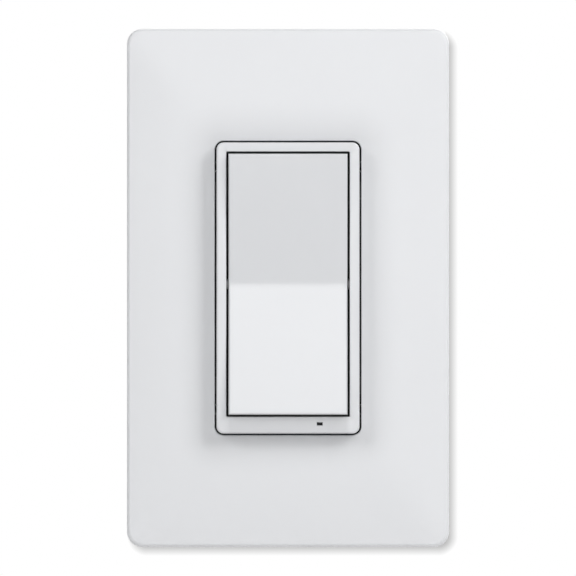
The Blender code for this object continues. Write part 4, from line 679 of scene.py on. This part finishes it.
for node, material in (
    ("insulator_sheet", clear_film),
    ("control_board", board_lacquer),
    ("power_board", board_lacquer),
    ("tact_switch_top", black_moulding),
    ("tact_switch_bottom", black_moulding),
    ("button_top", black_moulding),
    ("button_bottom", black_moulding),
    ("board_header", black_moulding),
    ("triac", black_moulding),
    ("fuse", black_moulding),
    ("indicator_led", clear_lamp),
    ("radio_module", plated_steel),
    ("thermal_pad", soft_pad),
    ("choke_coil", wound_copper),
    ("film_capacitor", yellow_box),
    ("supply_transformer", pressed_ferrite),
    ("bulk_capacitor", shrunk_sleeve),
    ("varistor", dipped_blue),
):
    repaint(node, material)
# Each return spring stands between the board and the paddle and is attached to no body
for node in ("return_spring_top", "return_spring_bottom"):
    front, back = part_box(node)
    coil = refined(node, None, drawn_spring_wire, angle=60.0)
    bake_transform(coil)


# Subplate: plain white moulding, screwed to the strap with two painted screws, which the cover
# plate snaps over.

subplate_moulding = moulding(
    "subplate_moulding",
    (0.80, 0.81, 0.82),
    (0.76, 0.77, 0.78),
    0.5,
    # Painted shade on the subplate seen down the open line around the frame
    shades=[outline(*FRAME_LINE, near=0.0008, height=LINE_HEIGHT)],
)
painted_white = moulding("painted_white", (0.84, 0.85, 0.86), (0.80, 0.81, 0.82), 0.3)
refined("mounting_subplate", "switch_body", subplate_moulding, 0.00015)
for node in ("plate_screw_top", "plate_screw_bottom"):
    screw = refined(node, "switch_body", painted_white)
    threaded(screw, *shank(node, Y, under_head=0.0003), radius=0.0017)


# Front frame: white satin bezel that stands proud of the cover plate, with a soft outer edge, a
# crisp window for the paddle and a small slot for the status light in its lower strip.

def rounded_outline(name, half_width, half_height, corner, steps, out, up=0.0):
    """A flat rounded rectangle that faces the room, as one closed ring of edges."""
    deselect()
    bpy.ops.mesh.primitive_plane_add(size=2.0, rotation=(math.pi / 2, 0.0, 0.0))
    ring = bpy.context.object
    ring.name = name
    bpy.ops.object.transform_apply(location=True, rotation=True, scale=True)
    bpy.ops.object.mode_set(mode="EDIT")
    bpy.ops.mesh.select_all(action="SELECT")
    bpy.ops.transform.resize(value=(half_width, 1.0, half_height))
    bpy.ops.mesh.bevel(offset=corner, segments=steps, affect="VERTICES")
    bpy.ops.mesh.select_all(action="SELECT")
    bpy.ops.mesh.delete(type="ONLY_FACE")
    bpy.ops.mesh.select_all(action="SELECT")
    bpy.ops.transform.translate(value=(0.0, -out, up))
    bpy.ops.object.mode_set(mode="OBJECT")
    return ring


def pick(piece, test):
    """Selects, in edit mode, the edges whose two ends pass the test."""
    make_active(piece)
    for face in piece.data.polygons:
        face.select = False
    chosen = [test(point.co) for point in piece.data.vertices]
    for point in piece.data.vertices:
        point.select = False
    for edge in piece.data.edges:
        edge.select = all(chosen[index] for index in edge.vertices)
    bpy.ops.object.mode_set(mode="EDIT")
    bpy.ops.mesh.select_mode(type="EDGE")


def joined(piece, *others):
    make_active(piece)
    for other in others:
        other.select_set(True)
    bpy.ops.object.join()


def bevelled(piece, test, width, steps):
    pick(piece, test)
    bpy.ops.mesh.bevel(offset=width, segments=steps, affect="EDGES")
    bpy.ops.object.mode_set(mode="OBJECT")


def made_solid(piece):
    """Merges what meets and points every face outwards."""
    make_active(piece)
    bpy.ops.object.mode_set(mode="EDIT")
    bpy.ops.mesh.select_all(action="SELECT")
    bpy.ops.mesh.remove_doubles(threshold=MERGE)
    bpy.ops.mesh.normals_make_consistent(inside=False)
    bpy.ops.object.mode_set(mode="OBJECT")


def carve(piece, shape, operation="DIFFERENCE"):
    """Cuts a shape from a piece, or joins it on, and removes the shape."""
    boolean = piece.modifiers.new("carve", "BOOLEAN")
    boolean.operation = operation
    boolean.object = shape
    make_active(piece)
    bpy.ops.object.modifier_apply(modifier=boolean.name)
    bpy.data.objects.remove(shape)


def box_shape(low, high):
    """A box between two corners, for carve()."""
    deselect()
    middle = [(a + b) / 2 for a, b in zip(low, high)]
    size = [b - a for a, b in zip(low, high)]
    bpy.ops.mesh.primitive_cube_add(size=1.0, location=middle, scale=size)
    return bpy.context.object


ROD_SIDES = 32


def rod_shape(radius, middle, length, turned):
    """A rod for carve(), turned from the Z axis."""
    deselect()
    bpy.ops.mesh.primitive_cylinder_add(
        vertices=ROD_SIDES, radius=radius, depth=length, location=middle, rotation=turned
    )
    return bpy.context.object


def finish_piece(piece, material, body, node):
    make_active(piece)
    bpy.ops.object.transform_apply(location=True, rotation=True, scale=True)
    made_solid(piece)
    smoothed(piece, 30.0)
    piece.data.materials.clear()
    piece.data.materials.append(material)
    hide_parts(node)
    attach(piece, body)


FRAME_OUTER = (0.016345, 0.033295)
FRAME_CORNER = 0.0016
FRAME_FRONT = 0.0102
FRAME_BACK = 0.0015
FRAME_ROUND = 0.0005
WINDOW = (0.014115, 0.03032)
WINDOW_CORNER = 0.0003
WINDOW_ROUND = 0.00022
SLOT = (0.000675, 0.000375)
SLOT_SIDE = 0.00726
SLOT_UP = -0.031075
SLOT_CUT = (-0.012, -0.005)
STRIP_FACE = 0.0014
STRIP_EDGE = 0.0015
ROOM_BACK = 0.0012
PIVOT_OUT = 0.0057
BEARING_RADIUS = 0.0015
BEARING_MIDDLE = 0.01390
BEARING_LENGTH = 0.0041
LEG_UP = 0.022395
LEG_HALF = 0.0017
# Inner and outer side, front and back, of each leg and of the hook on it
LEG = (0.014845, 0.016045, -0.0025, 0.0019)
LEG_HOOK = (0.015845, 0.016845, 0.0003, 0.0011)
CORNER_STEPS = 10
NEAR = 0.00001


def build_soft_shade_group():
    """Soft painted shade in a corner. It is full inside an outline and fades around it."""
    group, start, end = effect_group(
        "soft_painted_shade",
        [
            ("Vector", "NodeSocketVector", None),
            ("Color", "NodeSocketColor", (0.8, 0.8, 0.8, 1.0)),
            ("Middle", "NodeSocketVector", (0.0, 0.0, 0.0)),
            ("Straight", "NodeSocketVector", (0.01, 0.0, 0.01)),
            ("Corner", "NodeSocketFloat", 0.002),
            ("Reach", "NodeSocketFloat", 0.01),
            ("Strength", "NodeSocketFloat", 0.1),
        ],
        [("Color", "NodeSocketColor")],
    )
    distance = group.nodes.new("ShaderNodeGroup")
    distance.node_tree = outline_distance
    for socket in ("Vector", "Middle", "Straight", "Corner"):
        group.links.new(start.outputs[socket], distance.inputs[socket])
    faded = arithmetic(group, "DIVIDE", distance.outputs["Distance"], start.outputs["Reach"])
    faded.node.use_clamp = True
    left = arithmetic(group, "SUBTRACT", 1.0, faded)
    soft = arithmetic(group, "MULTIPLY", left, left)
    share = arithmetic(group, "MULTIPLY", soft, start.outputs["Strength"])
    group.links.new(darkened(group, share, start.outputs["Color"]), end.inputs["Color"])
    return group


soft_painted_shade = build_soft_shade_group()


def soft_shade_around(half_width, half_height, corner, reach, strength, up=0.0):
    """The soft painted shade around one outline, with its values."""
    return soft_painted_shade, {
        "Middle": (0.0, 0.0, up),
        "Straight": (half_width - corner, 0.0, half_height - corner),
        "Corner": corner,
        "Reach": reach,
        "Strength": strength,
    }


# Painted shade in both open lines and in the slot, and on the strips below and above the window
satin_white = moulding(
    "satin_white",
    light=(0.80, 0.81, 0.83),
    dark=(0.78, 0.79, 0.81),
    roughness=0.30,
    spread=0.05,
    grain=7000.0,
    cloud=70.0,
    bump=(0.06, 0.00002),
    shades=[
        outline(*FRAME_OUTER, FRAME_CORNER, near=0.0006, height=0.0066),
        outline(
            *WINDOW, WINDOW_CORNER, near=0.0002, height=FRAME_FRONT - 0.0003, up=PADDLE_UP
        ),
        outline(
            *SLOT, 0.0, near=0.0001, height=FRAME_FRONT - 0.0001, up=SLOT_UP, side=SLOT_SIDE
        ),
        # Painted shadow of the paddle's lower end on the strip below the window
        soft_shade_around(0.0132, 0.0018, corner=0.0005, reach=0.0022, strength=0.15, up=-0.0307),
        # Painted shade on the strip above the window, deepest next to it
        soft_shade_around(0.0145, 0.0005, corner=0.0003, reach=0.0020, strength=0.07, up=0.0318),
    ],
)


def in_window(co, spare=0.0003):
    return abs(co.x) < WINDOW[0] + spare and abs(co.z - PADDLE_UP) < WINDOW[1] + spare


bezel = rounded_outline("bezel", *FRAME_OUTER, FRAME_CORNER, CORNER_STEPS, FRAME_BACK)
outer_front = rounded_outline("outer_front", *FRAME_OUTER, FRAME_CORNER, CORNER_STEPS, FRAME_FRONT)
window = (*WINDOW, WINDOW_CORNER, CORNER_STEPS)
window_front = rounded_outline("window_front", *window, FRAME_FRONT, PADDLE_UP)
window_back = rounded_outline("window_back", *window, FRAME_BACK, PADDLE_UP)
joined(bezel, outer_front, window_front, window_back)
for ring_test in (
    lambda co: abs(co.y + FRAME_FRONT) < NEAR,
    lambda co: abs(co.y + FRAME_BACK) < NEAR,
    in_window,
    lambda co: not in_window(co),
):
    pick(bezel, ring_test)
    bpy.ops.mesh.bridge_edge_loops()
    bpy.ops.object.mode_set(mode="OBJECT")
made_solid(bezel)
bevelled(bezel, lambda co: co.y < NEAR - FRAME_FRONT and in_window(co), WINDOW_ROUND, 3)
bevelled(bezel, lambda co: co.y < NEAR - FRAME_FRONT and not in_window(co, 0.001), FRAME_ROUND, 6)
# The lamp's room behind the lower strip, and the slot through the strip
room_low = (-WINDOW[0], STRIP_FACE - FRAME_FRONT, STRIP_EDGE - FRAME_OUTER[1])
carve(bezel, box_shape(room_low, (WINDOW[0], -ROOM_BACK, 0.0)))
slot_low = (SLOT_SIDE - SLOT[0], SLOT_CUT[0], SLOT_UP - SLOT[1])
slot_high = (SLOT_SIDE + SLOT[0], SLOT_CUT[1], SLOT_UP + SLOT[1])
carve(bezel, box_shape(slot_low, slot_high))
# Blind bearings for the paddle's pegs, and legs whose hooks catch in the strap's slots
ACROSS = (0.0, math.pi / 2, 0.0)
for side in (1, -1):
    bearing_middle = (side * BEARING_MIDDLE, -PIVOT_OUT, PADDLE_UP)
    carve(bezel, rod_shape(BEARING_RADIUS, bearing_middle, BEARING_LENGTH, ACROSS))
    for up in (LEG_UP, -LEG_UP):
        for inner, outer, front, back in (LEG, LEG_HOOK):
            leg = box_shape(
                (side * inner, front, up - LEG_HALF), (side * outer, back, up + LEG_HALF)
            )
            made_solid(leg)
            carve(bezel, leg, "UNION")
finish_piece(bezel, satin_white, "switch_body", "front_frame")


# Paddle: one white rocker moulding whose two flat halves meet in a shallow V. It has a skirt all
# round, turns on a peg at each side, and carries pushers, spring posts and ribs underneath.

PADDLE = (0.013585, 0.02979)
PADDLE_END = 0.0118
PADDLE_MIDDLE = 0.0100
PADDLE_WALL = 0.0015
SKIRT_END = 0.00514
SKIRT_MIDDLE = 0.0039
CREASE_ROUND = 0.0006
RIM_ROUND = 0.0004
PEG_RADIUS = 0.0012
PEG_MIDDLE = 0.014015
PEG_LENGTH = 0.0037
RIB_SIDE = 0.0085
# Half width and half height, then how far out: front at end and middle, back at end and middle
RIB = (0.0005, 0.0289, 0.0106, 0.0088, 0.0079, 0.0079)
# Radius, distance from the wall, height over the pivot and length
PUSHER = (0.0011, 0.00785, 0.0110, 0.0033)
SPRING_POST = (0.0010, 0.009185, 0.0210, 0.00183)

paddle_gloss = moulding(
    "paddle_gloss",
    light=(0.752, 0.763, 0.784),
    dark=(0.737, 0.748, 0.769),
    roughness=0.20,
    spread=0.04,
    grain=6000.0,
    cloud=60.0,
    bump=(0.03, 0.00002),
    # Painted shade on the paddle's skirt down the open line around it
    shades=[outline(*PADDLE, 0.0001, near=0.0002, height=0.0098, up=PADDLE_UP)],
)


def v_block(name, half_width, half_height, front_end, front_middle, back_end, back_middle):
    """A block that is bent to a shallow V along its middle, in front and behind."""
    shape = box_shape(
        (-half_width, -front_end, PADDLE_UP - half_height),
        (half_width, -back_end, PADDLE_UP + half_height),
    )
    shape.name = name
    make_active(shape)
    bpy.ops.object.transform_apply(location=True, rotation=True, scale=True)
    bpy.ops.object.mode_set(mode="EDIT")
    bpy.ops.mesh.select_all(action="SELECT")
    bpy.ops.mesh.bisect(plane_co=(0.0, 0.0, PADDLE_UP), plane_no=(0.0, 0.0, 1.0))
    bpy.ops.object.mode_set(mode="OBJECT")
    for was, now in ((front_end, front_middle), (back_end, back_middle)):
        pick(shape, lambda co: abs(co.z - PADDLE_UP) < NEAR and abs(co.y + was) < NEAR)
        bpy.ops.transform.translate(value=(0.0, was - now, 0.0))
        bpy.ops.object.mode_set(mode="OBJECT")
    return shape


rocker = v_block("rocker", *PADDLE, PADDLE_END, PADDLE_MIDDLE, SKIRT_END, SKIRT_MIDDLE)


def on_front(co):
    return co.y < NEAR - PADDLE_MIDDLE


def on_front_rim(co):
    at_side = abs(co.x) > PADDLE[0] - NEAR
    at_end = abs(co.z - PADDLE_UP) > PADDLE[1] - NEAR
    return on_front(co) and (at_side or at_end)


bevelled(rocker, lambda co: on_front(co) and abs(co.z - PADDLE_UP) < NEAR, CREASE_ROUND, 4)
bevelled(rocker, on_front_rim, RIM_ROUND, 5)
hollow = v_block(
    "hollow",
    PADDLE[0] - PADDLE_WALL,
    PADDLE[1] - PADDLE_WALL,
    PADDLE_END - PADDLE_WALL,
    PADDLE_MIDDLE - PADDLE_WALL,
    0.0,
    0.0,
)
carve(rocker, hollow)
# A peg and a long rib at each side, a pusher and a spring post at each end
INTO_WALL = (math.pi / 2, 0.0, 0.0)
for side in (1, -1):
    peg_middle = (side * PEG_MIDDLE, -PIVOT_OUT, PADDLE_UP)
    carve(rocker, rod_shape(PEG_RADIUS, peg_middle, PEG_LENGTH, ACROSS), "UNION")
    rib = v_block("rib", *RIB)
    rib.location.x = side * RIB_SIDE
    carve(rocker, rib, "UNION")
    for radius, out, up, length in (PUSHER, SPRING_POST):
        rod = rod_shape(radius, (0.0, -out, PADDLE_UP + side * up), length, INTO_WALL)
        carve(rocker, rod, "UNION")
finish_piece(rocker, paddle_gloss, "rocker", "paddle")


# Status light: a smoked plastic lens in the slot, nearly black while the lamp is off. A wider foot
# behind the strip keeps it from falling out.

LENS_GAP = 0.0001
LENS_FRONT = -0.01005
LENS_ROUND = 0.00012
FOOT_FRONT = -0.0052
FOOT_LAP = 0.0001

dark_lens = moulding(
    "dark_lens",
    light=(0.012, 0.012, 0.014),
    dark=(0.006, 0.006, 0.008),
    roughness=0.25,
    spread=0.05,
    grain=9000.0,
    cloud=900.0,
    bump=(0.05, 0.00001),
    Specular_IOR_Level=0.15,
)
lens = box_shape(
    (SLOT_SIDE - SLOT[0] + LENS_GAP, LENS_FRONT, SLOT_UP - SLOT[1] + LENS_GAP),
    (SLOT_SIDE + SLOT[0] - LENS_GAP, FOOT_FRONT + FOOT_LAP, SLOT_UP + SLOT[1] - LENS_GAP),
)
lens.name = "status_lens"
made_solid(lens)
make_active(lens)
bpy.ops.object.transform_apply(location=True, rotation=True, scale=True)
bevelled(lens, lambda co: co.y < LENS_FRONT + NEAR, LENS_ROUND, 3)
foot_low, foot_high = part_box("light_pipe")
foot = box_shape((foot_low.x, FOOT_FRONT, foot_low.z), foot_high)
made_solid(foot)
carve(lens, foot, "UNION")
finish_piece(lens, dark_lens, "switch_body", "light_pipe")


# Cover plate: thin white moulding with a gently crowned face and soft round edges. It snaps over
# the subplate by hooks inside its rim, so that no screw shows.

PLATE = (0.037015, 0.059545)
PLATE_CORNER = 0.0035
PLATE_WALL = 0.0018
PLATE_EDGE_OUT = 0.0056
PLATE_CROWN = 0.0014
PLATE_ROUND = 0.0010
OPENING = (0.016795, 0.033745)
OPENING_CORNER = 0.0020
OPENING_ROUND = 0.0003
COLLAR_BACK = 0.0034
RING_SHARES = (0.08, 0.16, 0.26, 0.36, 0.48, 0.6, 0.72, 0.84, 1.0)
PLATE_STEPS = 12
HOOK_UP = 0.0340
HOOK_FRONT = 0.0012
HOOK_BACK = 0.0002
HOOK_REACH = 0.0009
HOOK_HALF = 0.0050
HOOK_SLOPE = 1.6 * HOOK_REACH
NOTCH_ACROSS = (0.0130, 0.0210)
NOTCH_UP = (-0.0640, -0.0560)
NOTCH_DEPTH = 0.0009

# Painted shade in the open line and around the frame, and a painted shadow close below the frame
matt_white = moulding(
    "matt_white",
    light=(0.86, 0.87, 0.89),
    dark=(0.84, 0.85, 0.87),
    roughness=0.45,
    spread=0.06,
    cloud=45.0,
    bump=(0.12, 0.00003),
    shades=[
        outline(*OPENING, OPENING_CORNER, near=0.0002, height=0.0067),
        soft_shade_around(*OPENING, OPENING_CORNER, reach=0.0105, strength=0.18),
        soft_shade_around(0.0150, 0.0003, corner=0.0002, reach=0.0030, strength=0.13, up=-0.0338),
    ],
)


def between(start, end, share):
    return start + (end - start) * share


plate = rounded_outline("snap_plate", *PLATE, PLATE_CORNER, PLATE_STEPS, 0.0)
rings = [rounded_outline("ring", *PLATE, PLATE_CORNER, PLATE_STEPS, PLATE_EDGE_OUT)]
for share in RING_SHARES:
    out = PLATE_EDGE_OUT + PLATE_CROWN * (1 - (1 - share) ** 2)
    rings.append(
        rounded_outline(
            "ring",
            between(PLATE[0], OPENING[0], share),
            between(PLATE[1], OPENING[1], share),
            between(PLATE_CORNER, OPENING_CORNER, share),
            PLATE_STEPS,
            out,
        )
    )
rings.append(rounded_outline("ring", *OPENING, OPENING_CORNER, PLATE_STEPS, COLLAR_BACK))
ring_outs = [0.0]
for ring in rings:
    ring_outs.append(-ring.data.vertices[0].co.y)
joined(plate, *rings)
for first, second in zip(ring_outs, ring_outs[1:]):
    pick(plate, lambda co: min(abs(co.y + first), abs(co.y + second)) < MERGE)
    bpy.ops.mesh.bridge_edge_loops()
    bpy.ops.object.mode_set(mode="OBJECT")
made_solid(plate)
bevelled(plate, lambda co: abs(co.y + PLATE_EDGE_OUT) < MERGE, PLATE_ROUND, 10)
bevelled(plate, lambda co: abs(co.y + PLATE_EDGE_OUT + PLATE_CROWN) < MERGE, OPENING_ROUND, 3)
make_active(plate)
wall = plate.modifiers.new("wall", "SOLIDIFY")
wall.thickness = PLATE_WALL
wall.offset = -1.0
wall.use_even_offset = True
bpy.ops.object.modifier_apply(modifier=wall.name)
made_solid(plate)
# Each hook is a bar whose inner edge towards the wall is drawn back to a slope
for across, up, inward in (
    (1, HOOK_UP, (-1, 0)),
    (1, -HOOK_UP, (-1, 0)),
    (-1, HOOK_UP, (1, 0)),
    (-1, -HOOK_UP, (1, 0)),
    (0, PLATE[1] - PLATE_WALL, (0, -1)),
    (0, PLATE_WALL - PLATE[1], (0, 1)),
):
    side = across * (PLATE[0] - PLATE_WALL)
    half = (HOOK_REACH, HOOK_HALF) if inward[0] else (HOOK_HALF, HOOK_REACH)
    hook = box_shape(
        (side - half[0], -HOOK_FRONT, up - half[1]), (side + half[0], -HOOK_BACK, up + half[1])
    )
    made_solid(hook)
    bpy.ops.object.transform_apply(location=True, rotation=True, scale=True)
    pick(
        hook,
        lambda co: abs(co.y + HOOK_BACK) < NEAR
        and (co.x - side) * inward[0] + (co.z - up) * inward[1] > 0.0,
    )
    bpy.ops.transform.translate(
        value=(-HOOK_SLOPE * inward[0], 0.0, -HOOK_SLOPE * inward[1])
    )
    bpy.ops.object.mode_set(mode="OBJECT")
    carve(plate, hook, "UNION")
# A notch in the lower rim takes a screwdriver, to lift the plate off
notch_low = (NOTCH_ACROSS[0], -NOTCH_DEPTH, NOTCH_UP[0])
notch_high = (NOTCH_ACROSS[1], NOTCH_DEPTH, NOTCH_UP[1])
carve(plate, box_shape(notch_low, notch_high))
finish_piece(plate, matt_white, "switch_body", "cover_plate")


# Stage: a painted shadow of the plate to the right and below, a pale floor, soft lamps and
# the camera straight in front.

def seen_white(tree):
    """1 for what is seen directly, in gloss or through glass, and 0 for what lights a piece."""
    path = tree.nodes.new("ShaderNodeLightPath").outputs
    direct = arithmetic(tree, "MAXIMUM", path["Is Camera Ray"], path["Is Glossy Ray"])
    return arithmetic(tree, "MAXIMUM", direct, path["Is Transmission Ray"])


def between_values(tree, value, near, far, first, last):
    """Goes from first to last while the value goes from near to far."""
    change = tree.nodes.new("ShaderNodeMapRange")
    for socket, number in (
        ("From Min", near), ("From Max", far), ("To Min", first), ("To Max", last)
    ):
        change.inputs[socket].default_value = number
    tree.links.new(value, change.inputs["Value"])
    return change.outputs["Result"]


def stage_material(name, colour):
    material = bpy.data.materials.new(name)
    material.use_nodes = True
    surface = material.node_tree.nodes["Principled BSDF"]
    surface.inputs["Base Color"].default_value = (colour, colour, colour, 1.0)
    surface.inputs["Roughness"].default_value = 0.9
    surface.inputs["Specular IOR Level"].default_value = 0.0
    return material, material.node_tree, surface


# The painted shadow lies around the plate's outline, moved to the right and down by half of its
# width. It is seen from the front only and takes no light from the switch.
SHADE_OUT = 0.0035
SHADE_HALF = 0.00105
SHADE_STRENGTH = 0.45
close_shade, tree, surface = stage_material("close_shade", 0.0)
where = tree.nodes.new("ShaderNodeTexCoord").outputs["Object"]
beside = tree.nodes.new("ShaderNodeGroup")
beside.node_tree = outline_distance
beside.inputs["Middle"].default_value = (SHADE_HALF, 0.0, -SHADE_HALF)
beside.inputs["Straight"].default_value = (PLATE[0] - PLATE_CORNER, 0.0, PLATE[1] - PLATE_CORNER)
beside.inputs["Corner"].default_value = PLATE_CORNER
tree.links.new(where, beside.inputs["Vector"])
depth = between_values(
    tree, beside.outputs["Distance"], -SHADE_HALF, SHADE_HALF, SHADE_STRENGTH, 0.0
)
seen = tree.nodes.new("ShaderNodeLightPath").outputs["Is Camera Ray"]
behind = tree.nodes.new("ShaderNodeNewGeometry").outputs["Backfacing"]
ahead = arithmetic(tree, "SUBTRACT", 1.0, behind)
shown = arithmetic(tree, "MULTIPLY", seen, ahead)
tree.links.new(arithmetic(tree, "MULTIPLY", depth, shown), surface.inputs["Alpha"])
SHADE_SPAN = 0.0022
SHADE_LAP = 0.0008
shade_low = -PLATE[1] - SHADE_SPAN
shade_seam = PLATE[0] - SHADE_LAP
for name, low, high in (
    ("shade_right", (shade_seam, shade_low), (PLATE[0] + SHADE_SPAN, PLATE[1])),
    ("shade_below", (-PLATE[0], shade_low), (shade_seam, PLATE_CORNER - PLATE[1])),
):
    deselect()
    bpy.ops.mesh.primitive_plane_add(
        size=1.0,
        location=((low[0] + high[0]) / 2, -SHADE_OUT, (low[1] + high[1]) / 2),
        rotation=(math.pi / 2, 0.0, 0.0),
    )
    strip = bpy.context.object
    strip.name = name
    strip.scale = (high[0] - low[0], high[1] - low[1], 1.0)
    bpy.ops.object.transform_apply(location=True, rotation=True, scale=True)
    strip.data.materials.append(close_shade)

# The floor is white around the switch and gives it no light of its own
FLOOR_UP = -0.14
FLOOR_SIZE = 1.8
floor_white, tree, surface = stage_material("floor_white", 0.8)
apart = tree.nodes.new("ShaderNodeVectorMath")
apart.operation = "LENGTH"
tree.links.new(tree.nodes.new("ShaderNodeTexCoord").outputs["Object"], apart.inputs[0])
glow = between_values(tree, apart.outputs["Value"], near=0.1, far=0.6, first=0.45, last=0.75)
tree.links.new(
    arithmetic(tree, "MULTIPLY", seen_white(tree), glow), surface.inputs["Emission Color"]
)
surface.inputs["Emission Strength"].default_value = 1.0
# Clear from below, so that the switch can be seen from there
below = tree.nodes.new("ShaderNodeNewGeometry").outputs["Backfacing"]
tree.links.new(arithmetic(tree, "SUBTRACT", 1.0, below), surface.inputs["Alpha"])
deselect()
bpy.ops.mesh.primitive_plane_add(size=FLOOR_SIZE, location=(0.0, 0.0, FLOOR_UP))
floor = bpy.context.object
floor.name = "floor"
floor.data.materials.append(floor_white)


def soft_lamp(name, azimuth, elevation, power, size=0.36):
    """A square lamp, 1 m away, that faces the switch. Azimuth is from in front to the right."""
    across = math.radians(azimuth)
    up = math.radians(elevation)
    place = (math.cos(up) * math.sin(across), -math.cos(up) * math.cos(across), math.sin(up))
    deselect()
    bpy.ops.object.light_add(
        type="AREA", location=place, rotation=(math.pi / 2 - up, 0.0, across)
    )
    lamp = bpy.context.object
    lamp.name = name
    lamp.data.size = size
    lamp.data.energy = power
    lamp.visible_camera = False


soft_lamp("front_lamp", 0.0, 10.0, 2.16)
soft_lamp("left_lamp", -55.0, 30.0, 2.76)
soft_lamp("right_lamp", 55.0, 30.0, 3.42)
soft_lamp("upper_lamp", 55.0, 50.0, 2.17)
soft_lamp("rear_lamp", 150.0, 30.0, 6.0, size=0.8)

# The world is white where it is seen, and lights the switch only faintly
WORLD_LIGHT = 0.02
world = bpy.data.worlds.new("studio")
bpy.context.scene.world = world
world.use_nodes = True
tree = world.node_tree
sky = tree.nodes["Background"]
level = between_values(tree, seen_white(tree), 0.0, 1.0, WORLD_LIGHT, 1.0)
tree.links.new(level, sky.inputs["Strength"])
sky.inputs["Color"].default_value = (1.0, 1.0, 1.0, 1.0)

CAMERA_AWAY = 1.007
CAMERA_LENS = 272.5
deselect()
bpy.ops.object.camera_add(
    location=(0.0, -CAMERA_AWAY, 0.0), rotation=(math.pi / 2, 0.0, 0.0)
)
camera = bpy.context.object
camera.data.lens = CAMERA_LENS
camera.data.clip_start = 0.01
bpy.context.scene.camera = camera
bpy.context.scene.view_settings.view_transform = "Standard"
